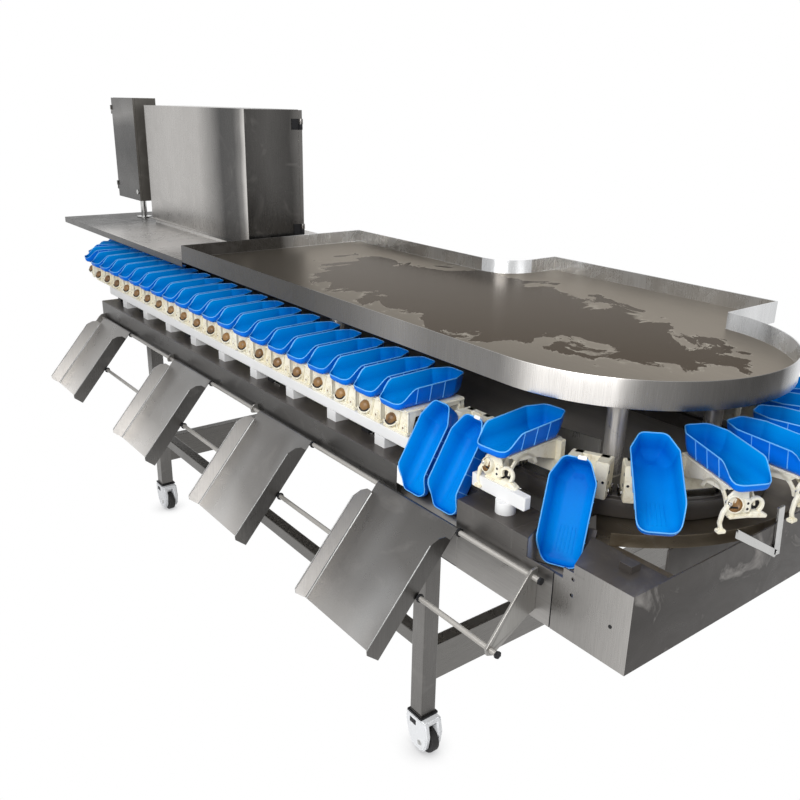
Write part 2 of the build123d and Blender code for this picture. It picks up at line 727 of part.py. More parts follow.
def chute(x):
    """Folded chute: hem round the upper rod, plate over the lower rod, upright sides with cut corners."""
    dy = LOWER_ROD[0] - UPPER_ROD[0]
    dz = LOWER_ROD[1] - UPPER_ROD[1]
    turn = degrees(atan2(-dz, -dy))
    base = ROD_R + REST_GAP
    half = CHUTE_W / 2
    section = [(0, base), (CHUTE_L, base), (CHUTE_L, base + CHUTE_T), (0, base + CHUTE_T)]
    top = base + CHUTE_WALL
    s0, s1, s2 = CHUTE_CUT
    wall = [
        (s0, base), (CHUTE_L, base), (CHUTE_L, top - HEM_R), (CHUTE_L - HEM_R, top), (s2, top),
        (s1, top - CHUTE_WALL / 4), (s0, top - CHUTE_WALL * 3 / 5),
    ]
    place = Pos(0, UPPER_ROD[0], UPPER_ROD[1]) * Rot(turn, 0, 0)
    # Down the chute is -Y before the turn.
    plate = along_x([(-s, n) for s, n in section], x - half, x + half)
    hem = round_x(x - half, x + half, 0, 0, HEM_R)
    whole = plate + hem
    for x0 in (x - half, x + half - CHUTE_T):
        whole += along_x([(-s, n) for s, n in wall], x0, x0 + CHUTE_T)
    whole -= round_x(x - half - 1, x + half + 1, 0, 0, ROD_R + PIN_GAP)
    return place * whole


def rod_clips():
    """Black clips on both rods at the +X end of every chute."""
    section = RegularPolygon(CLIP_R, 8) - RegularPolygon(ROD_R, 8, major_radius=False)
    clip = Rot(0, 90, 0) * extrude(section, CLIP_W)
    parts = []
    for x in CHUTE_XS:
        for y, z in (UPPER_ROD, LOWER_ROD):
            for side in (y, -y):
                parts.append(Pos(x + CHUTE_W / 2 + CLIP_GAP, side, z) * clip)
    return parts


def caster_plate(x, y):
    """Fixed top plate with the swivel pin."""
    half = CASTER_HALF
    plate = box(x - half, x + half, y - half, y + half, CASTER_TOP, LEG_BOTTOM)
    return plate + round_z(x, y, CROWN_Z, CASTER_TOP, SWIVEL_R)


def caster_fork(x, y):
    """Swivel housing with two cheeks and the axle."""
    whole = round_z(x, y, CROWN_Z, CASTER_TOP - FACE_GAP, CROWN_R)
    outer = FORK_IN + FORK_PLATE
    for y0 in (-outer, FORK_IN):
        face = Plane.XZ * Polygon(*FORK_SIDE, align=None)
        whole += Pos(x, y + y0, 0) * extrude(face, FORK_PLATE, dir=(0, 1, 0))
    whole -= round_z(x, y, CROWN_Z - 1, CASTER_TOP + 1, SWIVEL_R + PIN_GAP)
    return whole + round_y(x + TRAIL, y - outer, y + outer, WHEEL_R, AXLE_R)


def caster_wheel(x, y):
    wheel = round_y(x + TRAIL, y - WHEEL_W / 2, y + WHEEL_W / 2, WHEEL_R, WHEEL_R)
    return wheel - round_y(x + TRAIL, y - WHEEL_W, y + WHEEL_W, WHEEL_R, AXLE_R + PIN_GAP)


def gearmotor():
    """Right-angle gearbox on the side of a cross tube, with its motor."""
    x = SPROCKET_X
    y = SPROCKET_Y
    x0 = CROSS_XS[1] + CROSS_W / 2
    near = y - GEAR_HALF
    case = box(x0, x + GEAR_HALF, near, y + GEAR_HALF, GEAR_Z0, CROSS_Z1)
    case -= round_z(x, y, GEAR_Z0 + SHAFT_FLOOR, CROSS_Z1 + 1, SHAFT_R + PIN_GAP)
    return case + round_y(x, near - MOTOR_L, near, (GEAR_Z0 + CROSS_Z1) / 2, MOTOR_R)


def drive_sprocket():
    """Toothed wheel beside the chain on the gearbox shaft."""
    long, wide = TOOTH
    root = SPROCKET_R - long / 2
    wheel = Circle(SPROCKET_R - TOOTH[0] * 2 / 3)
    for k in range(SPROCKET_TEETH):
        wheel += Rot(0, 0, k * 360 / SPROCKET_TEETH) * Pos(root, 0) * Rectangle(long, wide)
    z0 = CHAIN_BASE + SHEET / 2
    disc = Pos(SPROCKET_X, SPROCKET_Y, z0) * extrude(wheel, SPROCKET_T)
    foot = GEAR_Z0 + SHAFT_FLOOR + SHEET
    return disc + round_z(SPROCKET_X, SPROCKET_Y, foot, z0 + SPROCKET_T, SHAFT_R)


def trip_units():
    """Trip magnets on the deck strip, one for each outlet, between two rail blocks."""
    half, rise = PLUNGER
    y0, y1 = TRIP_Y
    y = (y0 + y1) / 2
    top = DECK_Z + TRIP_H
    parts = []
    for x in TRIP_XS:
        unit = box(x - TRIP_HALF, x + TRIP_HALF, y0, y1, DECK_Z, top)
        unit += box(x - half, x + half, y - half, y + half, top, top + rise)
        parts += [unit, mirror_y(unit)]
    return parts


def weigh_units():
    """Load cells under the rear end of each tray line."""
    x0, x1 = CELL_X
    z0 = DECK_Z + CELL_FOOT
    z1 = DECK_Z + TRIP_H
    cell = box(x0, x1, *TRIP_Y, z0, z1)
    cell += box(x0, x0 + CELL_END, *TRIP_Y, DECK_Z, z0)
    cell += box(x1 - CELL_END, x1, *TRIP_Y, z1, z1 + CELL_FOOT)
    return [cell, mirror_y(cell)]


def hex_y(x, y, z, r, h):
    return Pos(x, y, z) * Rot(90, 0, 0) * extrude(RegularPolygon(r, 6), h)


def bolts():
    """Hex heads: on the outer face of each front post foot and at the rod ends."""
    r, h = FOOT_BOLT
    parts = []
    for x, y in TABLE_POSTS[:2]:
        for z in FOOT_BOLT_ZS:
            head = hex_y(x, -POST_FOOT / 2 - abs(y), z, r, h)
            parts.append(head if y < 0 else mirror_y(head))
    r, h = ROD_NUT
    for y, z in (UPPER_ROD, LOWER_ROD):
        for end in (y, -y):
            parts.append(Pos(ROD_X1, end, z) * Rot(0, 90, 0) * extrude(RegularPolygon(r, 6), h))
    return parts


# Level trays at the bend that lie on the rail: place in stations()
LEVEL = {"a": 2, "d": 22}
# Trays that tip: place in stations() and the angle each one has in the photograph
MOVING = {
    "b": (1, TIP_ANGLE),
    "c": (0, TIP_ANGLE),
    "e": (23, SIDE_TIP),
    "f": (24, CORNER_TIP),
}


def write(name, shape):
    if isinstance(shape, list):
        shape = Compound(children=shape)
    export_step(shape, f"parts/{name}.step")


def main():
    os.makedirs("parts", exist_ok=True)
    left = side_pan()
    write("side_pan_left", tip_room(left))
    write("side_pan_right", mirror_y(left))
    write("front_box", front_box())
    write("rear_plate", rear_plate())
    write("cross_tubes", cross_tubes())
    write("legs", legs())
    write("stretchers", stretchers())
    write("rear_arms", rear_arms())
    write("rails", rails())
    write("rail_blocks", rail_blocks())
    write("front_turn", front_turn())
    write("inner_deck", inner_deck())
    write("rear_turn", rear_turn())
    write("chain_guide", chain_guide())
    write("upper_deck", upper_deck())
    write("deck_posts", deck_posts())
    write("table", table())
    write("table_posts", table_posts())
    write("cabinet_shell", cabinet_shell())
    cabinet_leaves = hinge_fixed(HINGE_X, HINGE_Y, 1, HINGE_ZS)
    write("hinges", cabinet_leaves + hinge_fixed(CTRL_HINGE_X, CTRL_HINGE_Y, -1, CTRL_HINGE_ZS))
    write("cabinet_door", cabinet_door())
    write("cabinet_latch", cabinet_latch())
    write("control_box", control_box())
    write("control_door", control_door())
    write("control_lock", control_lock())
    write("control_post", control_post())
    write("chute_rods", rods())
    write("rod_plates", rod_plates())
    write("rod_clips", rod_clips())
    write("gearmotor", gearmotor())
    write("drive_sprocket", drive_sprocket())
    write("trip_units", trip_units())
    write("weigh_units", weigh_units())
    write("bolts", bolts())

    for k, x in enumerate(CHUTE_XS, 1):
        one = chute(x)
        write(f"chute_left_{k}", one)
        write(f"chute_right_{k}", mirror_y(one))

    plates = []
    for i, x in enumerate(LEG_XS):
        for j, y in enumerate((-LEG_Y, LEG_Y)):
            name = ("front", "rear")[i] + ("_left", "_right")[j]
            plates.append(caster_plate(x, y))
            write(f"caster_fork_{name}", caster_fork(x, y))
            write(f"caster_wheel_{name}", caster_wheel(x, y))
    write("caster_plates", plates)

    places = stations()
    hinged = {place for place, _ in MOVING.values()}
    plain = plain_carrier()
    with_pin = hinged_carrier()
    one_link = link()
    level = scoop()
    write("chain", [place * one_link for place in places])
    write("carriers", [place * (with_pin if k in hinged else plain) for k, place in enumerate(places)])
    apart = hinged | set(LEVEL.values())
    write("trays", [place * level for k, place in enumerate(places) if k not in apart])
    for letter, place in LEVEL.items():
        write(f"tray_{letter}", places[place] * level)
    moving = moving_tray()
    for letter, (place, angle) in MOVING.items():
        write(f"tray_{letter}", places[place] * tip(moving, angle))


main()
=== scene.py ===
"""Looks of the fruit grading machine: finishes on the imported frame, and moulded detail that rides on it.

Metres, in the frame's own axes: +X to the rounded loading end, +Z up, the floor at Z = 0.
"""

from math import cos, pi, radians, sin, tan

import bmesh
import bpy
from mathutils import Matrix, Vector


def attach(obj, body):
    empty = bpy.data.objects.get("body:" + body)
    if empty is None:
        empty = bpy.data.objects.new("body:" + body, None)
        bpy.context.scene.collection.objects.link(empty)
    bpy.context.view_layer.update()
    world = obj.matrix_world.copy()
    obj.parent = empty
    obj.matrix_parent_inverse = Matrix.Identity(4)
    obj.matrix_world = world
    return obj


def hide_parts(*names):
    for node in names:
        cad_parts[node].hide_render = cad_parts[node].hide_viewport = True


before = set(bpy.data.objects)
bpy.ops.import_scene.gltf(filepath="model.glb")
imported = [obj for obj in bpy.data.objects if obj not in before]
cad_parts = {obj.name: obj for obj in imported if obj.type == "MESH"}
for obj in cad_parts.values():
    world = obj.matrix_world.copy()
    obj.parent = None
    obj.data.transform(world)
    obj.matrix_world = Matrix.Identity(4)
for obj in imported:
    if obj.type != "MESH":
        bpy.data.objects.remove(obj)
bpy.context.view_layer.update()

# Camera, solved from the photograph's straight edges
CAMERA_AT = (2.71, -1.76, 1.7)
YAW = radians(52.28)
PITCH_DOWN = radians(19.66)
ROLL = radians(-1.16)
FOCAL_PX = 830.5
IMAGE_PX = 800
SENSOR_MM = 36.0

# Tray line
PITCH = 0.12
STRAIGHT_TRAYS = 22
TURN_TRAYS = 9
R_CHAIN = PITCH * TURN_TRAYS / pi
X_FRONT = 1.43
X_REAR = -1.21
FIRST_TRAY = 0.09
PIVOT_Y = -0.371
PIVOT_Z = 0.868
LEVEL = {"a": 2, "d": 22}
TIPPED = {"b": (1, 58.0), "c": (0, 58.0), "e": (23, 63.0), "f": (24, 26.0)}

# Tray
TRAY_OUT = -0.556
TRAY_IN = -0.329
TRAY_HALF = 0.043
TRAY_CORNER = (0.02, 0.04)
TRAY_BOTTOM = 0.96
TRAY_LOW = 0.98
TRAY_HIGH = 1.017
TRAY_BACK = 1.022
TRAY_WALL = 0.0025
TRAY_FILLET = 0.02
FLARE = tan(radians(10.0))
RIM_FALL = (-0.553, -0.499)


def put(name, data):
    """A new object in the scene."""
    made = bpy.data.objects.new(name, data)
    bpy.context.scene.collection.objects.link(made)
    return made


def make_camera():
    """The camera of the photograph."""
    forward = Vector((-sin(YAW) * cos(PITCH_DOWN), cos(YAW) * cos(PITCH_DOWN), -sin(PITCH_DOWN)))
    right = Vector((cos(YAW), sin(YAW), 0.0))
    down = forward.cross(right)
    across = cos(ROLL) * right + sin(ROLL) * down
    along = cos(ROLL) * down - sin(ROLL) * right
    data = bpy.data.cameras.new("camera")
    data.sensor_width = SENSOR_MM
    data.lens = SENSOR_MM * FOCAL_PX / IMAGE_PX
    camera = put("camera", data)
    turn = Matrix((across, -along, -forward)).transposed()
    camera.matrix_world = Matrix.Translation(CAMERA_AT) @ turn.to_4x4()
    bpy.context.scene.camera = camera


# Shader helpers

# Factor and both colours of a Mix node, and its colour output
MIX_IN = (0, 6, 7)
MIX_OUT = 2


class Nodes:
    """A node tree under construction, with short ways to add and join nodes."""

    def __init__(self, tree):
        self.tree = tree

    def feed(self, socket, value):
        """Puts a constant or a node's output on a socket."""
        if isinstance(value, bpy.types.NodeSocket):
            self.tree.links.new(value, socket)
        else:
            socket.default_value = (*value, 1.0) if socket.type == "RGBA" else value

    def add(self, kind, inputs=(), **settings):
        """A new node with its settings, and constants or outputs on its sockets."""
        made = self.tree.nodes.new(kind)
        for key, value in settings.items():
            setattr(made, key, value)
        for key, value in dict(inputs).items():
            self.feed(made.inputs[key], value)
        return made

    def math(self, operation, *values):
        return self.add("ShaderNodeMath", enumerate(values), operation=operation).outputs["Value"]

    def show_white(self, lit, white, output):
        """One surface for light on the object, the other for what the camera, mirrors and glass see."""
        path = self.add("ShaderNodeLightPath").outputs
        seen = self.math("MAXIMUM", path["Is Camera Ray"], path["Is Glossy Ray"])
        seen = self.math("MAXIMUM", seen, path["Is Transmission Ray"])
        both = self.add("ShaderNodeMixShader", enumerate((seen, lit, white)))
        self.feed(self.tree.nodes[output].inputs["Surface"], both.outputs["Shader"])


class Shader(Nodes):
    """A material under construction."""

    def __init__(self, name):
        self.material = bpy.data.materials.new(name)
        self.material.use_nodes = True
        super().__init__(self.material.node_tree)
        self.surface = self.tree.nodes["Principled BSDF"]
        self.place = self.add("ShaderNodeTexCoord").outputs["Object"]

    def finish(self, **values):
        """Sets or joins sockets of the surface, and gives the material."""
        for key, value in values.items():
            self.feed(self.surface.inputs[key.replace("_", " ")], value)
        return self.material

    def axis(self, letter):
        """One coordinate of the place on the object."""
        return self.add("ShaderNodeSeparateXYZ", {"Vector": self.place}).outputs[letter.upper()]

    def noise(self, scale, detail=4.0, stretch=(1.0, 1.0, 1.0), roughness=0.5, distortion=0.0):
        place = self.add("ShaderNodeMapping", {"Vector": self.place, "Scale": stretch}).outputs["Vector"]
        values = {"Scale": scale, "Detail": detail, "Roughness": roughness, "Distortion": distortion}
        return self.add("ShaderNodeTexNoise", {"Vector": place, **values}).outputs["Fac"]

    def spread(self, value, low, high, to_low=0.0, to_high=1.0):
        """Maps low..high of a value to to_low..to_high, clamped."""
        values = {"From Min": low, "From Max": high, "To Min": to_low, "To Max": to_high}
        return self.add("ShaderNodeMapRange", {"Value": value, **values}).outputs["Result"]

    def mix(self, factor, first, second, blend="MIX"):
        """Mixes two colours; each is a tuple or a node's output."""
        inputs = zip(MIX_IN, (factor, first, second))
        return self.add("ShaderNodeMix", inputs, data_type="RGBA", blend_type=blend).outputs[MIX_OUT]

    def scale(self, colour, factor):
        """A colour made darker or lighter by a factor."""
        return self.add("ShaderNodeVectorMath", {0: colour, "Scale": factor}, operation="SCALE").outputs[0]

    def fade(self, place, stops):
        """A colour that follows (place, colour) stops."""
        low, high = stops[0][0], stops[-1][0]
        made = self.add("ShaderNodeValToRGB", {"Fac": self.spread(place, low, high)})
        points = made.color_ramp.elements
        for k, (at, colour) in enumerate(stops):
            share = (at - low) / (high - low)
            point = points[k] if k < 2 else points.new(share)
            point.position = share
            point.color = (*colour, 1.0)
        return made.outputs["Color"]

    def bump(self, height, strength, distance):
        values = {"Height": height, "Strength": strength, "Distance": distance}
        self.finish(Normal=self.add("ShaderNodeBump", values).outputs["Normal"])


def warm(tone):
    """A grey of the given level with the slight brown of stainless."""
    return (tone, 0.965 * tone, 0.925 * tone)


def greys(*pairs):
    """Stops of a fade from (place, grey level) pairs."""
    return [(place, warm(tone)) for place, tone in pairs]


# Stretch of the brushing lines and of the soft bands of painted reflection on sheet brushed along each axis
GRAIN = {"x": (1.0, 60.0, 60.0), "y": (60.0, 1.0, 60.0), "z": (60.0, 60.0, 1.0)}
BANDS = {"x": (0.15, 1.0, 1.0), "y": (1.0, 0.15, 1.0), "z": (1.0, 1.0, 0.08)}


def brushed(look, grain_along, tone, rough, smears=0.5, metal=1.0):
    """Adds grain, smears and uneven gloss of brushed stainless to a tone."""
    grain = look.noise(14.0, 5.0, GRAIN[grain_along], 0.6)
    smear = look.noise(7.0, 5.0, roughness=0.62, distortion=1.4)
    lined = look.mix(1.0, tone, look.spread(grain, 0.3, 0.7, 0.86, 1.1), "MULTIPLY")
    stain = look.spread(smear, 0.56, 0.76, 0.0, 0.35 * smears)
    worn = look.spread(smear, 0.35, 0.7, *rough)
    look.bump(grain, 0.1, 0.0006)
    return look.finish(
        Base_Color=look.mix(stain, lined, (0.42, 0.4, 0.38)), Metallic=metal,
        Roughness=look.math("ADD", look.spread(grain, 0.3, 0.7, 0.0, 0.06), worn))


def steel(name, along, dark, light, rough=(0.2, 0.34), cloud=1.4, metal=1.0, smears=0.5):
    """Brushed sheet whose tone drifts between two colours in soft bands, a painted reflection of its
    surroundings.
    """
    look = Shader(name)
    drift = look.noise(cloud, 3.0, BANDS[along], 0.5, 0.3)
    tone = look.mix(look.spread(drift, 0.36, 0.64), dark, light)
    return brushed(look, along, tone, rough, smears, metal)


def faded(name, along, axis, stops, rough=(0.2, 0.34), sway=0.1, metal=1.0, gain=None, glare=0.0, edge=1.0):
    """Brushed sheet that fades along one axis through (place, colour) stops of painted reflection and shade; it
    can have a painted gain in light along X, soft painted glare and a tint that darkens it at a grazing view."""
    look = Shader(name)
    drift = look.noise(2.2, 3.0, distortion=0.4)
    sway = sway * (stops[-1][0] - stops[0][0])
    place = look.math("ADD", look.axis(axis), look.spread(drift, 0.3, 0.7, -sway, sway))
    tone = look.fade(place, stops)
    if gain:
        tone = look.scale(tone, look.spread(look.axis("x"), *gain))
    if glare:
        patch = look.noise(3.2, 1.0, (1.6, 0.7, 0.7), 0.4, 0.3)
        tone = look.mix(look.spread(patch, 0.5, 0.74, 0.0, glare), tone, (0.6, 0.61, 0.615))
    if edge < 1.0:
        look.finish(Specular_Tint=(edge, edge, edge), Specular_IOR_Level=0.1)
    return brushed(look, along, tone, rough, 0.5, metal)


# Where the strip over the chute rods begins, in Z, and where it turns from dark to light, in X
STRIP_EDGE = (0.748, 0.762)
STRIP_ENDS = (1.36, 1.44)


def fascia_steel(name, stops, dark):
    """Outside of the side pans: tones along X that are painted reflections, and a strip over the chute rods,
    dark but for its front end.
    """
    look = Shader(name)
    tone = look.fade(look.axis("x"), stops)
    strip = look.mix(look.spread(look.axis("x"), *STRIP_ENDS), dark, (0.14, 0.133, 0.126))
    tone = look.mix(look.spread(look.axis("z"), *STRIP_EDGE), tone, strip)
    return brushed(look, "x", tone, (0.24, 0.36), 0.5, 0.8)


# Painted reflections: grey levels along the near side of the rim and round its head
RIM_REFLECTION_STOPS = greys(
    (-0.4, 0.085), (-0.1, 0.055), (0.45, 0.068), (0.74, 0.14), (0.98, 0.27), (1.1, 0.2), (1.37, 0.22),
    (1.425, 0.42), (1.49, 0.93), (1.648, 0.94), (1.668, 0.42), (1.695, 0.22), (1.735, 0.17), (1.76, 0.115),
    (1.79, 0.085), (1.82, 0.055),
)


def rim_steel(name):
    """Table rim: painted reflections in bands along the near side and round the head, and painted light on the
    far side.
    """
    look = Shader(name)
    drift = look.noise(3.0, 3.0, (1.0, 1.0, 0.02), 0.55, 0.2)
    place = look.math("ADD", look.axis("x"), look.spread(drift, 0.3, 0.7, -0.012, 0.012))
    near = look.fade(place, RIM_REFLECTION_STOPS)
    light = look.mix(look.spread(drift, 0.36, 0.62), (0.52, 0.525, 0.53), (0.72, 0.725, 0.73))
    far = look.spread(look.axis("y"), 0.02, 0.12)
    return brushed(look, "z", look.mix(far, near, light), (0.18, 0.32), 0.2)


def bright_steel(name, tone, dull=0.7):
    """Polished or plated steel with fine draw lines."""
    look = Shader(name)
    lines = look.noise(30.0, 3.0, (1.0, 25.0, 25.0))
    spots = look.noise(16.0, 4.0)
    dulled = look.spread(spots, 0.4, 0.8, 0.0, 0.12)
    look.bump(lines, 0.06, 0.0004)
    return look.finish(
        Base_Color=look.mix(look.spread(spots, 0.45, 0.75, 0.0, 0.6), tone, tuple(dull * c for c in tone)),
        Roughness=look.math("ADD", look.spread(lines, 0.3, 0.7, 0.1, 0.18), dulled), Metallic=1.0)


# How near walls have to be to count as a hollow, which gets painted shade
HOLLOW_SHADE_REACH = 0.09


def plastic(name, tone, shade, rough, grain, gloss=0.5, dirt=None, hollow=None):
    """Moulded plastic with fine grain; dirt is a colour and its share, hollow a colour of painted shade for
    narrow places.
    """
    look = Shader(name)
    drift = look.noise(5.0, 3.0)
    fine = look.noise(grain, 3.0)
    base = look.mix(look.spread(drift, 0.35, 0.65), tone, shade)
    if dirt:
        colour, share = dirt
        spots = look.noise(38.0, 5.0, roughness=0.65, distortion=0.8)
        base = look.mix(look.spread(spots, 0.52, 0.7, 0.0, share), base, colour)
    # Painted shade: the hollow colour where walls are near
    if hollow:
        close = look.add("ShaderNodeAmbientOcclusion", {"Distance": HOLLOW_SHADE_REACH}, samples=6)
        base = look.mix(look.spread(close.outputs["AO"], 0.36, 0.92), hollow, base)
    look.bump(fine, 0.05, 0.0003)
    dull = look.spread(fine, 0.3, 0.7, *rough)
    return look.finish(Base_Color=base, Roughness=dull, Specular_IOR_Level=gloss)


# Wet patch on the table floor
WET_MIDDLE = (0.72, 0.1)
WET_HALF = (0.8, 0.34)


def wet_table(name):
    """Table floor: dry brushed steel with a dark film of water in a long ragged patch with pale edges."""
    look = Shader(name)
    grain = look.noise(14.0, 5.0, GRAIN["x"], 0.6)
    ragged = look.noise(4.2, 7.0, roughness=0.62, distortion=0.8)
    squares = []
    for letter, middle, half in zip("xy", WET_MIDDLE, WET_HALF):
        share = look.math("DIVIDE", look.math("SUBTRACT", look.axis(letter), middle), half)
        squares.append(look.math("MULTIPLY", share, share))
    reach = look.math("ADD", *squares)
    edge = look.math("ADD", reach, look.spread(ragged, 0.3, 0.7, -0.75, 0.75))
    film = look.spread(edge, 0.97, 1.03, 1.0, 0.0)
    pale = look.math("SUBTRACT", look.spread(edge, 1.0, 1.12, 1.0, 0.0), film)
    crumbs = look.spread(look.noise(26.0, 5.0, roughness=0.7), 0.47, 0.57)
    dry = look.mix(look.spread(grain, 0.3, 0.7), (0.185, 0.166, 0.142), (0.245, 0.22, 0.19))
    wet = look.mix(look.spread(grain, 0.3, 0.7), (0.026, 0.012, 0.003), (0.043, 0.025, 0.012))
    # Painted light: the dry steel darker at the near side, lighter from the middle on
    dry = look.scale(dry, look.spread(look.axis("y"), -0.36, 0.02, 0.84, 1.36))
    base = look.mix(film, dry, wet)
    scum = look.math("MULTIPLY", look.math("MULTIPLY", pale, crumbs), 0.75)
    look.bump(edge, 0.1, 0.001)
    return look.finish(
        Base_Color=look.mix(scum, base, (0.52, 0.49, 0.43)), Metallic=1.0, Specular_Tint=(0.64, 0.62, 0.59),
        Roughness=look.spread(film, 0.0, 1.0, 0.36, 0.22))


BROWN = ((0.075, 0.066, 0.058), (0.125, 0.112, 0.1))
GREY = ((0.11, 0.106, 0.1), (0.19, 0.184, 0.175))

# The maker of each material and what it is given after the name:
# steel - brushing, both colours, roughness, size of the bands, share of metal, smears
# faded - brushing, axis, stops, roughness, sway, share of metal, gain, glare, edge
# plastic - both colours, roughness, grain, gloss, dirt, hollow colour of painted shade
RECIPES = {
    "deck": (steel, "x", (0.075, 0.066, 0.06), (0.135, 0.122, 0.112), (0.26, 0.38), 1.6, 0.55),
    # fascia: its tones along X are painted reflections
    "fascia": (
        fascia_steel, greys((-1.6, 0.095), (0.8, 0.1), (1.2, 0.15), (1.42, 0.34), (1.8, 0.36)), warm(0.095)),
    "plate": (steel, "z", (0.24, 0.23, 0.215), (0.36, 0.35, 0.33), (0.24, 0.36), 3.0, 0.6),
    "brown_y": (steel, "y", *BROWN, (0.26, 0.4), 1.6, 0.8),
    "dark": (steel, "x", (0.05, 0.044, 0.039), (0.105, 0.094, 0.084), (0.34, 0.48), 2.4, 0.25),
    # shade: a pale non-metal, painted light so that parts deep in shade don't go black
    "shade": (steel, "x", (0.4, 0.37, 0.335), (0.62, 0.58, 0.53), (0.4, 0.55), 3.0, 0.0),
    "grey_x": (steel, "x", *GREY),
    "grey_y": (steel, "y", *GREY),
    # Painted light: legs lighter at mid height, and leg_end, for faces that look along +X, a darker copy in
    # painted shade
    "leg": (faded, "z", "z", greys((0.1, 0.17), (0.4, 0.215), (0.75, 0.13))),
    "leg_end": (faded, "z", "z", greys((0.1, 0.12), (0.4, 0.15), (0.75, 0.09))),
    # Painted light on the front box: sides lighter towards the front, box_front, the face that looks along +X,
    # dark
    "box_side": (faded, "z", "x", greys((1.7, 0.28), (1.8, 0.3), (1.92, 0.42))),
    "box_front": (steel, "y", (0.03, 0.027, 0.025), (0.066, 0.06, 0.056), (0.24, 0.4), 2.4, 1.0, 1.9),
    # Chutes in painted light: plate lighter low down and towards the rear, with soft painted glare; chute_in,
    # inside of the far wall, light; chute_out, outside of the near wall, dark
    "chute": (
        faded, "z", "z", greys((0.47, 0.66), (0.6, 0.29), (0.76, 0.17)), (0.24, 0.38), 0.16, 0.75,
        (-0.85, 1.26, 1.45, 0.6), 0.24),
    "chute_in": (faded, "z", "z", greys((0.47, 0.86), (0.6, 0.8), (0.76, 0.42)), (0.28, 0.42), 0.16, 0.25),
    "chute_out": (faded, "z", "z", greys((0.47, 0.16), (0.6, 0.12), (0.76, 0.09)), (0.24, 0.38), 0.16),
    # Painted reflections along the cabinet and across its end faces, cabinet_end
    "cabinet": (
        faded, "z", "x",
        greys((-1.57, 0.4), (-1.25, 0.46), (-0.95, 0.44), (-0.8, 0.22), (-0.7, 0.045), (-0.58, 0.065),
              (-0.525, 0.2), (-0.49, 0.62)), (0.2, 0.32), 0.02),
    "cabinet_end": (
        faded, "z", "y", greys((-0.12, 0.06), (0.0, 0.095), (0.1, 0.065), (0.16, 0.16)), (0.2, 0.32), 0.06),
    # Painted reflections up the control box; control_side, for faces that look along +X, another tone of
    # painted light
    "control": (
        faded, "z", "z",
        greys((1.19, 0.055), (1.28, 0.075), (1.44, 0.03), (1.56, 0.055), (1.62, 0.2), (1.7, 0.12)),
        (0.2, 0.32), 0.05),
    "control_side": (steel, "z", (0.085, 0.078, 0.068), (0.145, 0.135, 0.12), (0.3, 0.44), 4.0, 0.2),
    # Painted reflection: a bright band along the middle of the upper deck; upper_lip, for faces that don't look
    # up, a darker copy in painted shade
    "upper": (
        faded, "x", "x",
        greys((-1.99, 0.1), (-1.62, 0.15), (-1.32, 0.8), (-0.75, 0.92), (-0.46, 0.3)),
        (0.22, 0.34), 0.03, 0.35, None, 0.0, 0.35),
    "upper_lip": (faded, "x", "x", greys((-1.99, 0.1), (-0.5, 0.055)), (0.24, 0.36), 0.1, 0.8),
    "rim": (rim_steel,),
    "table_floor": (wet_table,),
    "bronze": (steel, "x", (0.08, 0.06, 0.036), (0.24, 0.2, 0.145), (0.24, 0.4), 6.0, 0.6),
    "fold": (steel, "z", (0.22, 0.22, 0.215), (0.34, 0.34, 0.335), (0.3, 0.42), 6.0, 0.6),
    "rod": (steel, "x", (0.34, 0.325, 0.3), (0.46, 0.44, 0.41), (0.26, 0.4), 6.0, 0.35),
    "post": (steel, "z", (0.48, 0.455, 0.42), (0.74, 0.71, 0.67), (0.22, 0.34), 5.0, 0.6),
    "foot": (steel, "z", (0.42, 0.38, 0.31), (0.58, 0.54, 0.46), (0.26, 0.4), 6.0, 0.5),
    # plinth: near white, a painted reflection along the foot of the cabinet
    "plinth": (steel, "x", (0.78, 0.77, 0.75), (0.92, 0.91, 0.89), (0.24, 0.36), 5.0, 0.3),
    "bright": (bright_steel, (0.52, 0.52, 0.51)),
    # Trays: blue darkens to its hollow colour as painted shade; blue_out, a darker copy, paints shade outside;
    # blue_rim, a lighter copy, paints highlight
    "blue": (
        plastic, (0.0, 0.36, 0.92), (0.0, 0.315, 0.87), (0.28, 0.38), 220.0, 0.03, None, (0.0, 0.06, 0.42)),
    "blue_out": (plastic, (0.0, 0.185, 0.84), (0.0, 0.16, 0.8), (0.3, 0.4), 220.0, 0.08),
    "blue_rim": (plastic, (0.16, 0.5, 0.95), (0.12, 0.46, 0.93), (0.36, 0.46), 220.0, 0.3),
    "ivory": (
        plastic, (0.96, 0.93, 0.8), (0.92, 0.86, 0.68), (0.36, 0.5), 160.0, 0.35, ((0.52, 0.39, 0.18), 0.45)),
    "amber": (
        plastic, (0.34, 0.18, 0.055), (0.18, 0.09, 0.028), (0.3, 0.5), 120.0, 0.5, ((0.06, 0.035, 0.015), 0.8)),
    "white": (plastic, (0.9, 0.9, 0.895), (0.84, 0.84, 0.835), (0.36, 0.48), 180.0, 0.4),
    "black": (plastic, (0.012, 0.012, 0.013), (0.02, 0.02, 0.022), (0.4, 0.55), 180.0, 0.18),
    "rubber": (plastic, (0.02, 0.02, 0.021), (0.034, 0.033, 0.033), (0.5, 0.7), 140.0, 0.3),
    "hood": (plastic, (0.9, 0.91, 0.92), (0.82, 0.83, 0.85), (0.18, 0.3), 160.0),
    "cast": (plastic, (0.2, 0.21, 0.22), (0.16, 0.17, 0.18), (0.45, 0.6), 90.0),
}
MATERIALS = {name: maker(name, *details) for name, (maker, *details) in RECIPES.items()}


# Mesh helpers

# Edges sharper than this are bevelled, and moulded pieces are shaded smooth up to ROUND degrees
SHARP = radians(20)
ROUND = 40.0


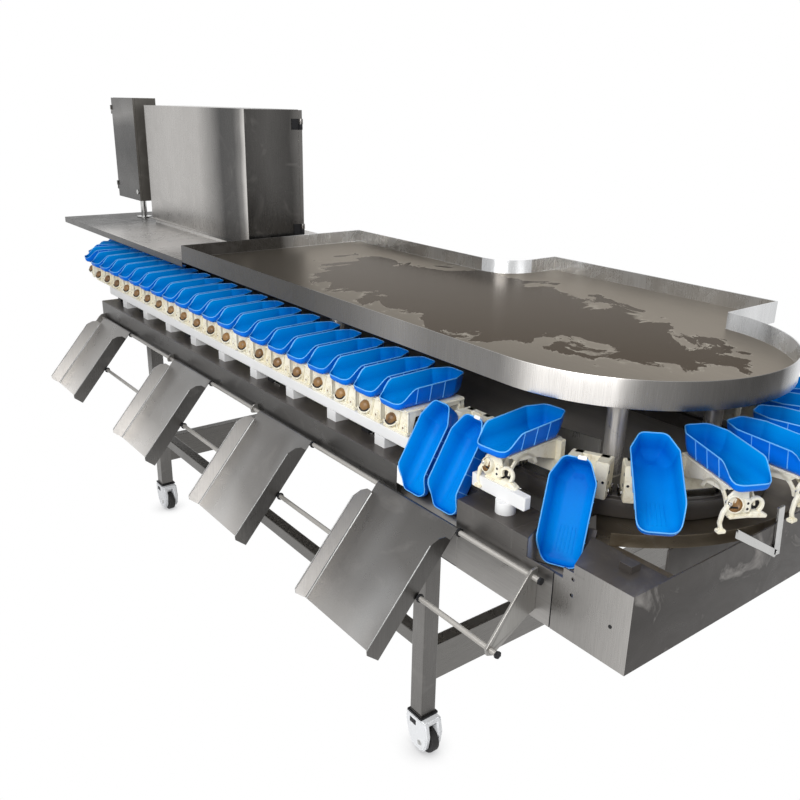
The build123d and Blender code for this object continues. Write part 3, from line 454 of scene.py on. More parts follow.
def adopt(target, made, slot=0, matrix=None):
    """Adds a finished sub-shape to the piece under construction."""
    if matrix is not None:
        bmesh.ops.transform(made, matrix=matrix, verts=made.verts)
    for face in made.faces:
        face.material_index = slot
    carrier = bpy.data.meshes.new("carrier")
    made.to_mesh(carrier)
    made.free()
    target.from_mesh(carrier)
    bpy.data.meshes.remove(carrier)


def box(target, low, high, bevel=0.001, slot=0, segments=1, matrix=None):
    made = bmesh.new()
    size = [b - a for a, b in zip(low, high)]
    middle = [(a + b) / 2 for a, b in zip(low, high)]
    bmesh.ops.create_cube(made, size=1.0, matrix=Matrix.Translation(middle) @ Matrix.Diagonal((*size, 1.0)))
    if bevel:
        offset = min(bevel, 0.45 * min(size))
        bmesh.ops.bevel(made, geom=made.edges[:], offset=offset, segments=segments, affect="EDGES")
    adopt(target, made, slot, matrix)


def band(made, first, second):
    """Faces between two rings of the same count."""
    count = len(first)
    return [made.faces.new((first[k], first[(k + 1) % count], second[(k + 1) % count], second[k]))
            for k in range(count)]


def loft(target, low, high, bevel=0.0, slot=0, segments=1):
    """A solid between two outlines of the same count."""
    made = bmesh.new()
    rows = [[made.verts.new(place) for place in outline] for outline in (low, high)]
    for row in rows:
        made.faces.new(row)
    band(made, *rows)
    bmesh.ops.recalc_face_normals(made, faces=made.faces[:])
    if bevel:
        sharp = [e for e in made.edges if e.calc_face_angle() > SHARP]
        bmesh.ops.bevel(made, geom=sharp, offset=bevel, segments=segments, affect="EDGES", clamp_overlap=True)
    adopt(target, made, slot)


def slab(target, outline, to_point, depth, bevel=0.001, slot=0, segments=1):
    """A plate with the given 2-D outline; to_point maps (a, b, depth) to a place."""
    low, high = ([to_point(a, b, d) for a, b in outline] for d in (0.0, depth))
    loft(target, low, high, bevel, slot, segments)


def prism(target, outline, x0, x1, *details):
    """A bar along X with the given (y, z) outline; bevel, slot and segments may follow, as for slab."""
    slab(target, outline, lambda y, z, d: (x0 + d, y, z), x1 - x0, *details)


def plate_y(target, outline, y0, y1, *details):
    """A plate across Y with the given (x, z) outline."""
    slab(target, outline, lambda x, z, d: (x, y0 + d, z), y1 - y0, *details)


def arc(radius, angles):
    """Points on a circle round the origin; angles in degrees."""
    return [(radius * cos(radians(a)), radius * sin(radians(a))) for a in angles]


def lathe(target, profile, base, axis, slot=0, steps=24, closed=True):
    """Turns an (r, h) profile round an axis through base."""
    made = bmesh.new()
    turn = Vector(axis).normalized().to_track_quat("Z", "Y").to_matrix().to_4x4()
    angles = [2 * pi * k / steps for k in range(steps)]
    rings = [[made.verts.new((r * cos(a), r * sin(a), h)) for a in angles] for r, h in profile]
    for first, second in zip(rings, rings[1:]):
        band(made, first, second)
    if closed:
        made.faces.new(rings[0][::-1])
        made.faces.new(rings[-1])
    bmesh.ops.recalc_face_normals(made, faces=made.faces[:])
    adopt(target, made, slot, Matrix.Translation(base) @ turn)


def rod(target, start, end, radius, slot=0, steps=20, edge=0.0008):
    """A round bar with a small chamfer at both ends."""
    length = (Vector(end) - Vector(start)).length
    profile = [(radius - edge, 0.0), (radius, edge), (radius, length - edge), (radius - edge, length)]
    lathe(target, profile, start, Vector(end) - Vector(start), slot, steps)


def screw(target, base, axis, radius, height, slot=0, sides=6):
    """A bolt head on a washer."""
    lathe(target, [(radius * 1.5, 0.0), (radius * 1.5, 0.001), (radius * 1.4, 0.0013)], base, axis, slot, 20)
    lathe(target, [(radius, 0.0), (radius, height * 0.8), (radius * 0.84, height)], base, axis, slot, sides)


def to_mesh(name, built, materials, smooth=32.0):
    mesh = bpy.data.meshes.new(name)
    bmesh.ops.remove_doubles(built, verts=built.verts[:], dist=1e-6)
    built.to_mesh(mesh)
    built.free()
    for key in materials:
        mesh.materials.append(MATERIALS[key])
    mesh.polygons.foreach_set("use_smooth", [True] * len(mesh.polygons))
    mesh.set_sharp_from_angle(angle=radians(smooth))
    return mesh


def piece(name, mesh, body, stands_for=()):
    """Adds a piece that rides on a body, in place of the nodes that it stands for."""
    made = put(name, mesh)
    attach(made, body)
    if stands_for:
        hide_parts(*stands_for)


def copies(name, mesh, places):
    """One mesh that holds a copy of the given one at every place."""
    joined = bmesh.new()
    for place in places:
        one = mesh.copy()
        one.transform(place)
        joined.from_mesh(one)
        bpy.data.meshes.remove(one)
    made = bpy.data.meshes.new(name)
    joined.to_mesh(made)
    joined.free()
    for material in mesh.materials:
        made.materials.append(material)
    return made


def dress(node, finish, bevel):
    """Finish of a CAD node: one material, or several and a rule that picks one for each face."""
    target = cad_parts[node]
    target.data.materials.clear()
    *names, rule = finish if isinstance(finish, tuple) else (finish, None)
    for name in names:
        target.data.materials.append(MATERIALS[name])
    if rule:
        place = target.matrix_world
        spin = place.to_3x3()
        for face in target.data.polygons:
            face.material_index = int(rule(place @ face.center, spin @ face.normal))
    if bevel:
        weld = target.modifiers.new("weld", "WELD")
        weld.merge_threshold = 1e-5
        edge = target.modifiers.new("edge", "BEVEL")
        edge.width = bevel
        edge.segments = 2
        edge.limit_method = "ANGLE"
        edge.angle_limit = radians(35)
        edge.harden_normals = False


def stations():
    """Places of the trays: near side, front bend, far side, rear bend."""
    first = (PITCH - FIRST_TRAY) / R_CHAIN
    places = []
    for end, way, angle in ((X_FRONT, -1, 0.0), (X_REAR, 1, pi)):
        steps = [(end + way * (FIRST_TRAY + k * PITCH), angle) for k in range(STRAIGHT_TRAYS)]
        steps += [(end, angle + first + k * pi / TURN_TRAYS) for k in range(TURN_TRAYS)]
        places += [Matrix.Translation((x, 0, 0)) @ Matrix.Rotation(turn, 4, "Z") for x, turn in steps]
    return places


def tip(angle):
    """Turn of a tray about its pivot, in degrees."""
    pivot = Matrix.Translation((0, PIVOT_Y, PIVOT_Z))
    return pivot @ Matrix.Rotation(radians(angle), 4, "X") @ pivot.inverted()


# Trays

# blue_rim is a lighter copy of the blue, painted highlight on rims and ribs; blue_out a darker copy, painted
# shade outside
TRAY_LOOKS = ["blue", "blue_rim", "white", "blue_out"]
BLUE, BLUE_RIM, WHITE, BLUE_OUT = range(4)
OUTER_R = 0.022
INNER_R = 0.01
ARC_STEPS = 5
SIDE_STEPS = 16
SIDE_END = 0.016
RIB_YS = (-0.497, -0.452, -0.407)
FLUTE_XS = (-0.018, -0.009, 0.0, 0.009, 0.018)
FLUTE = ((-0.0022, -0.0004), (-0.0008, 0.0005), (0.0008, 0.0005), (0.0022, -0.0004))
FAN_Y = -0.372
FAN_R = (0.01, 0.019)
RIM_ROLL = (
    (-0.0025, -0.0006), (-0.0021, 0.0004), (-0.0012, 0.0008), (-0.0003, 0.0004), (0.0002, -0.0006),
    (0.0001, -0.0014),
)
LUG = [(-0.01, -0.01), (0.01, -0.01), (0.01, 0.093), (-0.04, 0.093), (-0.01, 0.04)]
LUG_HALF = 0.012
HUB = [(0.0125, 0.0), (0.0125, 0.0022), (0.0115, 0.003)]


def plan(grow):
    """Points round the tray plan moved outward by grow, the same count for every grow."""
    cut_x, cut_y = TRAY_CORNER
    right = [(TRAY_HALF, TRAY_OUT), (TRAY_HALF, TRAY_IN - cut_y), (TRAY_HALF - cut_x, TRAY_IN)]
    base = [Vector(p) for p in right] + [Vector((-x, y)) for x, y in reversed(right)]
    count = len(base)
    ways = [(b - a).normalized() for a, b in zip(base, base[1:] + base[:1])]
    lines = [(p + grow * Vector((way.y, -way.x)), way) for p, way in zip(base, ways)]
    corners = [p + a * ((q - p).cross(b) / a.cross(b)) for (p, a), (q, b) in zip(lines[-1:] + lines, lines)]
    points = []
    for k, corner in enumerate(corners):
        wide = OUTER_R if k in (0, count - 1) else INNER_R
        radius = max(0.001, wide + grow)
        before = (corners[k - 1] - corner).normalized()
        after = (corners[(k + 1) % count] - corner).normalized()
        half_angle = before.angle(after) / 2
        reach = radius / tan(half_angle)
        centre = corner + (before + after).normalized() * (radius / sin(half_angle))
        first = corner + before * reach - centre
        last = corner + after * reach - centre
        sweep = first.angle_signed(last)
        points += [centre + Matrix.Rotation(-sweep * s / ARC_STEPS, 2) @ first for s in range(ARC_STEPS + 1)]
        if k in (0, count - 2):
            start = points[-1]
            stop = corners[k + 1] + (corner - corners[k + 1]).normalized() * SIDE_END
            points += [start.lerp(stop, s / SIDE_STEPS) for s in range(1, SIDE_STEPS)]
    return points


def rim_height(y):
    """Height of the rim over the tray's floor line: low at the outer lip, high along the sides."""
    share = min(1.0, max(0.0, (y - RIM_FALL[0]) / (RIM_FALL[1] - RIM_FALL[0])))
    ease = share * share * (3 - 2 * share)
    back = min(1.0, max(0.0, (y - RIM_FALL[1]) / (TRAY_IN - RIM_FALL[1])))
    return TRAY_LOW + (TRAY_HIGH - TRAY_LOW) * ease + (TRAY_BACK - TRAY_HIGH) * back - TRAY_BOTTOM


def tray_body():
    """Scoop with a rounded floor, flared walls and a rolled rim."""
    built = bmesh.new()
    known = {}

    def place(k, grow, height):
        key = round(grow, 5)
        if key not in known:
            known[key] = plan(key)
        return (known[key][k].x, known[key][k].y, TRAY_BOTTOM + height)

    level = [rim_height(p.y) for p in plan(0.004)]
    count = len(level)
    fillets = [min(TRAY_FILLET, 0.6 * (h - TRAY_WALL)) for h in level]

    def ring(rule):
        return [built.verts.new(place(k, *rule(k))) for k in range(count)]

    def bowl(angle, wall):
        s, c = sin(radians(angle)), cos(radians(angle))

        def rule(k):
            height = wall + fillets[k] * (1 - c)
            return height * FLARE * s - wall - fillets[k] * (1 - s), height
        return ring(rule)

    def side(share, wall):
        def rule(k):
            low = wall + fillets[k]
            height = low + share * (level[k] - low)
            return height * FLARE - wall, height
        return ring(rule)

    rings = [bowl(a, TRAY_WALL) for a in (0, 22, 45, 68, 90)]
    rings += [side(s, TRAY_WALL) for s in (0.45, 0.965)]
    first_rim = len(rings)
    rings += [ring(lambda k, o=out, u=up: (level[k] * FLARE + o, level[k] + u)) for out, up in RIM_ROLL]
    last_rim = len(rings)
    rings += [side(s, 0.0) for s in (0.95, 0.45)]
    rings += [bowl(a, 0.0) for a in (90, 60, 30, 0)]
    # Rim in the lighter blue of painted highlight, outside in the darker blue of painted shade
    for index, (first, second) in enumerate(zip(rings, rings[1:])):
        look = BLUE if index < first_rim - 1 else BLUE_RIM if index < last_rim else BLUE_OUT
        for face in band(built, first, second):
            face.material_index = look
    built.faces.new(rings[0][::-1]).material_index = BLUE
    built.faces.new(rings[-1]).material_index = BLUE_OUT
    bmesh.ops.recalc_face_normals(built, faces=built.faces[:])
    return built


def tray_rib(built, side, y):
    """An upright stiffener on a side wall."""
    rows = []
    for h in (0.012, rim_height(y) - 0.002):
        inner = TRAY_HALF + h * FLARE - 0.0008
        outer = inner + 0.002
        corners = [(inner, y - 0.0011), (outer, y - 0.0008), (outer, y + 0.0008), (inner, y + 0.0011)]
        rows.append([(side * x, v, TRAY_BOTTOM + h) for x, v in corners])
    loft(built, *rows, 0.0, BLUE_RIM)


def flute(built, start, end):
    """A low ridge on the tray floor between two plan points."""
    z = TRAY_BOTTOM + TRAY_WALL
    along = (Vector(end) - Vector(start)).normalized()
    off = Vector((-along.y, along.x))
    rows = []
    for p in (Vector(start), Vector(end)):
        rows.append([((p + off * o).x, (p + off * o).y, z + u) for o, u in FLUTE])
    loft(built, *rows, 0.0, BLUE)


def tray_mesh(lug, tab):
    """A tray with its ribs and flutes; the tipping ones stand on a lug, some carry a clip at the inner rim."""
    built = tray_body()
    for side in (-1, 1):
        for y in RIB_YS:
            tray_rib(built, side, y)
    for x in FLUTE_XS:
        flute(built, (x, -0.528), (0.9 * x, -0.47))
    for k in range(-3, 4):
        a = radians(90 + 15 * k)
        flute(built, *((r * cos(a), FAN_Y + r * sin(a)) for r in FAN_R))
    for x in (-0.02, 0.02):
        low = (x - 0.0025, -0.54, TRAY_BOTTOM - 0.0035)
        box(built, low, (x + 0.0025, -0.35, TRAY_BOTTOM + 0.001), 0.0008, BLUE)
    if lug:
        outline = [(PIVOT_Y + y, PIVOT_Z + z) for y, z in LUG]
        prism(built, outline, -LUG_HALF, LUG_HALF, 0.0018, WHITE, 2)
        for side in (-1, 1):
            lathe(built, HUB, (side * LUG_HALF, PIVOT_Y, PIVOT_Z), (side, 0, 0), WHITE, 20)
    if tab:
        back = TRAY_IN + (TRAY_BACK - TRAY_BOTTOM) * FLARE
        low = (0.002, back - 0.0045, TRAY_BACK - 0.013)
        box(built, low, (0.022, back + 0.004, TRAY_BACK + 0.003), 0.0012, WHITE, 2)
    return to_mesh("tray", built, TRAY_LOOKS, ROUND)


def make_trays(places):
    plain = tray_mesh(False, False)
    trays = [(letter, plain, places[k], "frame") for letter, k in LEVEL.items()]
    for letter, (k, angle) in TIPPED.items():
        trays.append((letter, tray_mesh(True, letter in "ce"), places[k] @ tip(angle), f"tray_{letter}"))
    taken = {k for k, _ in TIPPED.values()} | set(LEVEL.values())
    level = [place for k, place in enumerate(places) if k not in taken]
    piece("level_trays", copies("level_trays", plain, level), "frame", ["trays"])
    for letter, mesh, place, body in trays:
        name = f"tray_{letter}_scoop"
        piece(name, copies(name, mesh, [place]), body, [f"tray_{letter}"])


# Carriers

MOULDED = ["ivory", "amber", "black", "bright"]
IVORY, AMBER, BLACK, BRIGHT = range(4)
BUMPER_X = -0.0195
BUMPER_Z = 0.917
WALL_Y = -0.527
CHEEK = [
    (-0.398, 0.854), (-0.398, 0.905), (-0.386, 0.94), (-0.333, 0.94), (-0.333, 0.872), (-0.356, 0.872),
    (-0.356, 0.854),
]
CUP_OUTSIDE = [
    (0.015, 0.0), (0.0172, 0.004), (0.0182, 0.015), (0.0177, 0.0166), (0.0164, 0.0166), (0.0157, 0.015),
]
CUP_INSIDE = [(0.0158, 0.0152), (0.0152, 0.0105), (0.012, 0.0075), (0.006, 0.0062), (0.0004, 0.006)]
DOME = [
    (0.0158, 0.005), (0.016, 0.009), (0.0146, 0.0135), (0.0112, 0.017), (0.0062, 0.019), (0.0004, 0.0196),
]
PAWL = [
    (-0.034, 0.932), (-0.028, 0.926), (-0.042, 0.905), (-0.046, 0.882), (-0.04, 0.866), (-0.047, 0.861),
    (-0.054, 0.882), (-0.05, 0.908),
]


def plain_carrier_mesh():
    """Moulded carrier: foot on the rail, outer wall with a bumper, top flange, block over the chain."""
    built = bmesh.new()
    box(built, (-0.052, -0.532, 0.888), (0.052, -0.512, 0.899), 0.003, IVORY, 2)
    box(built, (-0.05, WALL_Y + 0.003, 0.895), (0.05, WALL_Y + 0.008, 0.956), 0.002)
    box(built, (-0.052, -0.532, 0.95), (0.052, -0.333, 0.96), 0.003, IVORY, 2)
    box(built, (-0.05, -0.353, 0.872), (0.05, -0.333, 0.957), 0.002, IVORY, 2)
    rib = [(-0.526, 0.893), (-0.527, 0.957), (-0.345, 0.957), (-0.345, 0.944), (-0.5, 0.938), (-0.512, 0.893)]
    for x in (-0.05, 0.045):
        prism(built, rib, x, x + 0.005, 0.0012)
    brace = [(0.002, 0.899), (0.009, 0.899), (0.022, 0.951), (0.014, 0.951)]
    plate_y(built, brace, WALL_Y - 0.003, WALL_Y + 0.004, 0.0018, IVORY, 2)
    box(built, (0.026, WALL_Y - 0.0045, 0.897), (0.046, WALL_Y + 0.004, 0.921), 0.003, IVORY, 2)
    rod(built, (0.036, WALL_Y - 0.0048, 0.91), (0.036, WALL_Y - 0.001, 0.91), 0.003, AMBER, 14, 0.0003)
    bumper(built, (BUMPER_X, WALL_Y + 0.004, BUMPER_Z), (0.42, -0.82, 0.38))
    for y in (-0.48, -0.41):
        rod(built, (0.0485, y, 0.949), (0.051, y, 0.949), 0.0032, BRIGHT, 12, 0.0004)
    return to_mesh("carrier", built, MOULDED, ROUND)


def hinged_carrier_mesh():
    """Two cheeks with the pivot pin between them, joined over the chain, each with two bolt holes in painted
    shade.
    """
    built = bmesh.new()
    for side in (-1, 1):
        x0, x1 = sorted((side * 0.019, side * 0.05))
        prism(built, CHEEK, x0, x1, 0.0022, IVORY, 2)
        # Black discs paint the shade in the bolt holes
        for y, z in ((-0.381, 0.918), (-0.378, 0.89)):
            rod(built, (side * 0.046, y, z), (side * 0.0504, y, z), 0.0045, BLACK, 16, 0.0003)
        screw(built, (side * 0.05, PIVOT_Y, PIVOT_Z), (side, 0, 0), 0.0052, 0.0032, BRIGHT)
        for x in (0.027, 0.042):
            rod(built, (side * x, -0.3982, 0.897), (side * x, -0.394, 0.897), 0.0035, BLACK, 14, 0.0002)
    box(built, (-0.0425, -0.353, 0.872), (0.0425, -0.333, 0.94), 0.002, IVORY, 2)
    rod(built, (-0.02, PIVOT_Y, PIVOT_Z), (0.02, PIVOT_Y, PIVOT_Z), 0.004, BRIGHT, 20)
    return to_mesh("hinged_carrier", built, MOULDED, ROUND)


def cup(built, at, axis):
    """An open moulded cup, brown inside, with a black patch low in it that paints the shade of a slot."""
    axis = Vector(axis).normalized()
    at = Vector(at)
    lathe(built, CUP_OUTSIDE, at, axis, IVORY, 24, False)
    lathe(built, CUP_INSIDE, at, axis, AMBER, 24, False)
    place = Matrix.Translation(at + axis * 0.008) @ axis.to_track_quat("Z", "Y").to_matrix().to_4x4()
    # Painted shade of the slot
    box(built, (-0.0085, -0.009, -0.003), (0.0085, -0.0055, 0.002), 0.001, BLACK, 1, place)
    box(built, (-0.0012, -0.012, -0.003), (0.0012, 0.012, 0.0008), 0.0006, AMBER, 1, place)


def bumper(built, at, axis):
    """A round brown bumper in a half-round cream lip, with painted shade in the gap between them."""
    axis = Vector(axis).normalized()
    at = Vector(at)
    # Black ring under the dome and black bow inside the lip: painted shade in the gap
    lathe(built, [(0.0172, 0.0), (0.0172, 0.005), (0.016, 0.0056)], at, axis, BLACK, 24)
    lathe(built, DOME, at, axis, AMBER, 24, False)
    across = Vector((0, 0, 1)).cross(axis).normalized()
    up = axis.cross(across)

    def place(a, b, d):
        return at + a * across + b * up + d * axis

    slab(built, arch(0.0, 0.0, 0.0212, 0.0174, 195, 345), place, 0.014, 0.0008)
    slab(built, arch(0.0, 0.0, 0.0176, 0.0136, 205, 335), place, 0.015, 0.0, BLACK)


def arch(y, z, outer, inner, first, last, steps=12):
    """Outline of a bow round (y, z) between two angles in degrees."""
    turns = [first + (last - first) * k / steps for k in range(steps + 1)]
    return [(y + a, z + b) for a, b in arc(outer, turns) + arc(inner, turns[::-1])]


def turn_carrier_mesh():
    """Carrier seen open at the turn: curved ribs, cup, pierced block, D-shaped bow and a hanging pawl."""
    built = bmesh.new()
    box(built, (-0.036, -0.522, 0.953), (0.036, -0.333, 0.96), 0.002, IVORY, 2)
    box(built, (-0.048, -0.353, 0.872), (0.048, -0.333, 0.957), 0.002, IVORY, 2)
    box(built, (-0.03, -0.532, 0.888), (0.05, -0.514, 0.897), 0.003, IVORY, 2)
    rib = [(-0.35, 0.955), (-0.35, 0.905), (-0.42, 0.93), (-0.5, 0.94), (-0.515, 0.955)]
    for x in (-0.034, -0.002, 0.03):
        for outline in (arch(-0.47, 0.902, 0.053, 0.043, 18, 170), rib):
            prism(built, outline, x, x + 0.005, 0.0012)
    wall = [(-0.036, 0.895), (-0.036, 0.94), (-0.02, 0.955), (0.01, 0.955), (0.016, 0.93), (0.012, 0.895)]
    plate_y(built, wall, -0.526, -0.52, 0.0014)
    cup(built, (-0.02, -0.52, 0.92), (-0.25, -0.93, 0.28))
    box(built, (0.0, -0.533, 0.902), (0.016, -0.518, 0.932), 0.0022, IVORY, 2)
    # Black discs paint the shade in the block's holes
    for z in (0.911, 0.924):
        rod(built, (0.008, -0.5334, z), (0.008, -0.53, z), 0.003, BLACK, 14, 0.0002)
    plate_y(built, arch(0.032, 0.915, 0.02, 0.0125, -60, 215), -0.529, -0.519, 0.0014)
    # Black disc inside the bow paints the shade behind it
    lathe(built, [(0.0128, 0.0), (0.0005, 0.0)], (0.032, -0.518, 0.915), (0, -1, 0), BLACK, 20, False)
    arm = [(0.014, 0.888), (0.06, 0.884), (0.063, 0.891), (0.046, 0.9), (0.02, 0.902)]
    plate_y(built, arm, -0.531, -0.512, 0.0022)
    plate_y(built, PAWL, -0.533, -0.524, 0.0014)
    box(built, (-0.056, -0.538, 0.859), (-0.036, -0.522, 0.868), 0.0022, IVORY, 2)
    rod(built, (-0.035, -0.535, 0.926), (-0.035, -0.52, 0.926), 0.004, BRIGHT, 14)
    return to_mesh("turn_carrier", built, MOULDED, ROUND)


def make_carriers(places):
    hinged = {place for place, _ in TIPPED.values()}
    ends = set(range(STRAIGHT_TRAYS, STRAIGHT_TRAYS + TURN_TRAYS)) - hinged
    joined = bmesh.new()
    for mesh, wanted in ((plain_carrier_mesh(), set(range(len(places))) - hinged - ends),
                         (turn_carrier_mesh(), ends), (hinged_carrier_mesh(), hinged)):
        joined.from_mesh(copies("some", mesh, [places[k] for k in sorted(wanted)]))
    made = to_mesh("carrier_mouldings", joined, MOULDED, ROUND)
    piece("carrier_mouldings", made, "frame", ["carriers"])


# Small pieces that the solids leave out

def make_fasteners():
    """A dark screw on the front box and dark screws in the cabinet's hinge leaves."""
    built = bmesh.new()
    rod(built, (1.864, -0.5712, 0.734), (1.864, -0.568, 0.734), 0.0042, 1, 14, 0.0004)
    for middle in (1.17, 1.608):
        for z in (middle - 0.014, middle + 0.014):
            for y in (0.118, 0.136):
                rod(built, (-0.492, y, z), (-0.4908, y, z), 0.0028, 1, 14, 0.0004)
    piece("fasteners", to_mesh("fasteners", built, ["bright", "black"]), "frame")


def make_trip_flaps():
    """Bent bright flaps beside the trip units under the tray line."""
    built = bmesh.new()
    for x in (0.93, 0.385, -0.28, -0.76):
        flap = [(x + 0.026, 0.829), (x + 0.03, 0.829), (x + 0.074, 0.862), (x + 0.071, 0.865)]
        plate_y(built, flap, -0.505, -0.47, 0.0006)
        box(built, (x + 0.022, -0.505, 0.8255), (x + 0.06, -0.47, 0.829), 0.0008)
    piece("trip_flaps", to_mesh("trip_flaps", built, ["bright"]), "frame")


PLATES = ["fascia", "shade", "deck", "black", "plate", "box_side", "dark"]
# The first two are pale floors in the pocket of tray e, painted light in a place deep in shade
PLATE_BOXES = (
    ((1.585, -0.566, 0.722), (1.7, -0.3, 0.725), 0.0, "shade"),
    ((1.7, -0.566, 0.722), (1.79, -0.4, 0.725), 0.0, "shade"),
    ((1.297, -0.57, 0.645), (1.405, -0.566, 0.736), 0.0008, "fascia"),
    ((1.297, -0.57, 0.645), (1.405, -0.52, 0.649), 0.0008, "fascia"),
    ((1.8, -0.305, 0.65), (1.804, 0.42, 0.788), 0.0, "dark"),
    ((1.395, -0.455, 0.786), (1.6, -0.33, 0.789), 0.0, "plate"),
    ((1.584, -0.57, 0.778), (1.63, -0.5675, 0.825), 0.0, "fascia"),
    ((1.762, -0.57, 0.803), (1.79, -0.5675, 0.825), 0.0, "box_side"),
    ((1.7092, -0.5706, 0.646), (1.7108, -0.569, 0.78), 0.0, "black"),
)
WEDGE = [
    (-0.4992, 0.823), (-0.4992, 0.736), (-0.566, 0.736), (-0.566, 0.74), (-0.556, 0.74), (-0.5035, 0.8235),
]
LOOP_R = 0.319
LOOP_END = 0.403


def make_pockets(tray_places):
    """Closing plates: wedge and covers in the deck's cut-outs, walls round tray e, skirt, bulkhead and seam at
    the front box, plate under the rail's end, guard under the table, plate inside the rear loop."""
    built = bmesh.new()
    prism(built, WEDGE, 1.1605, 1.3995, 0.0008)
    for low, high, bevel, look in PLATE_BOXES:
        box(built, low, high, bevel, PLATES.index(look))
    covers = (((1.584, -0.465), (1.63, -0.5695), (1.584, -0.5695)),
              ((1.706, -0.45), (1.762, -0.5695), (1.79, -0.5695), (1.79, -0.45)))
    guard = [(1.412, -0.25), (1.532, -0.228), (1.531, -0.225), (1.411, -0.247)]
    bend = [(X_REAR - y, x) for x, y in arc(LOOP_R, range(0, 181, 10))]
    loop = [(LOOP_END, LOOP_R)] + bend + [(LOOP_END, -LOOP_R)]
    flat = [(cover, 0.822, 0.003, "deck") for cover in covers]
    # The loop plate is pale, painted light under the table
    flat += [(guard, 0.8, 0.14, "plate"), (loop, 0.8, 0.003, "shade")]
    for outline, bottom, thick, look in flat:
        slab(built, outline, lambda x, y, d, bottom=bottom: (x, y, bottom + d), thick, 0.0, PLATES.index(look))
    turned = tray_places[TIPPED["e"][0]]
    back = [(0.481, 0.8215), (0.485, 0.8215), (0.531, 0.735), (0.527, 0.735)]
    # A pale wall beside tray e, painted light in its shaded pocket
    box(built, (-0.064, -0.594, 0.722), (-0.0605, -0.455, 0.8215), 0.0, PLATES.index("shade"), 1, turned)
    slab(built, back, lambda r, z, d: turned @ Vector((d - 0.06, -r, z)), 0.12, 0.0, PLATES.index("deck"))
    piece("closing_plates", to_mesh("closing_plates", built, PLATES), "frame")


def make_front_bracket():
    """Bright bent bar on the outside of the front box, under the drip pan."""
    built = bmesh.new()
    bars = ([(-0.237, 0.868), (-0.237, 0.846), (-0.058, 0.74), (-0.04, 0.752)],
            [(-0.062, 0.748), (-0.036, 0.742), (-0.052, 0.871), (-0.076, 0.871)])
    for outline in bars:
        prism(built, outline, 1.9102, 1.9165, 0.001)
    rod(built, (1.916, -0.052, 0.752), (1.9185, -0.052, 0.752), 0.006, 0, 16)
    piece("front_bracket", to_mesh("front_bracket", built, ["bright"]), "frame")


# Chutes: turn, upper rod, middles; radius, place in the section, start and length of their folds and hems
CHUTE_TURN = radians(49.905)
UPPER_ROD = (-0.5825, 0.752)
CHUTE_XS = (1.263, 0.612, -0.068, -0.85)
FOLD_R, FOLD_AT, FOLD_SPAN = 0.0036, (0.157, 0.0088), (0.03, 0.3175)
HEM_R, HEM_AT, HEM_SPAN = 0.0017, (0.158, 0.0568), (0.062, 0.276)


def make_folds():
    """Rounded bright folds along the inside of each chute's walls and a hem on their upper edges."""
    def bar(built, side, outline, start, length):
        def place(x, n, d):
            s = start + d
            y = UPPER_ROD[0] - s * cos(CHUTE_TURN) - n * sin(CHUTE_TURN)
            return (x, -side * y, UPPER_ROD[1] - s * sin(CHUTE_TURN) + n * cos(CHUTE_TURN))
        slab(built, outline, place, length, 0.0)

    hollow = [(FOLD_R - a, FOLD_R - b) for a, b in arc(FOLD_R, range(0, 91, 18))]
    ring = arc(HEM_R, range(0, 360, 45))
    for name, side in (("left", -1), ("right", 1)):
        for number, x in enumerate(CHUTE_XS, 1):
            built = bmesh.new()
            for way in (-1, 1):
                fold = [(x + way * FOLD_AT[0] - way * a, FOLD_AT[1] + b) for a, b in [(0.0, 0.0)] + hollow]
                bar(built, side, fold, *FOLD_SPAN)
                hem = [(x + way * HEM_AT[0] + a, HEM_AT[1] + b) for a, b in ring]
                bar(built, side, hem, *HEM_SPAN)
            made = to_mesh("folds", built, ["fold"], 50.0)
            piece(f"chute_{name}_{number}_folds", made, f"chute_{name}_{number}")


HOOD = [
    (-0.036, 0.111), (-0.037, 0.08), (-0.022, 0.032), (-0.004, 0.012), (0.034, 0.01), (0.05, 0.026),
    (0.056, 0.064), (0.046, 0.111),
]
HOOD_WALL = (0.0135, 0.0295)
HOOD_WINDOW = (0.0285, 0.0298)


def make_hoods():
    """White caster housings with a window near the top in painted shade, and the axle nuts."""
    for end, x in (("front", 1.27), ("rear", -0.53)):
        for side, y in (("left", -0.545), ("right", 0.545)):
            built = bmesh.new()
            outline = [(x + a, b) for a, b in HOOD]
            for way in (-1, 1):
                plate_y(built, outline, *sorted(y + way * r for r in HOOD_WALL), 0.0035, 0, 3)
                # A black patch paints the shade in the window
                y0, y1 = sorted(y + way * r for r in HOOD_WINDOW)
                box(built, (x - 0.019, y0, 0.082), (x + 0.008, y1, 0.099), 0.0005, 1)
                screw(built, (x + 0.026, y + way * 0.0292, 0.0375), (0, way, 0), 0.0055, 0.0035, 2)
            box(built, (x - 0.036, y - 0.02, 0.094), (x + 0.046, y + 0.02, 0.1112), 0.003, 0, 2)
            body = f"caster_fork_{end}_{side}"
            made = to_mesh("hood", built, ["hood", "black", "bright"], ROUND)
            piece(f"caster_hood_{end}_{side}", made, body, [body])


# Floor, light and backdrop

# Half the floor's side, and how near things have to be to cast painted shadow on it
FLOOR_HALF = 40.0
FLOOR_REACH = 0.1
SKY = (0.95, 0.97, 1.0)
SKY_STRENGTH = 0.3


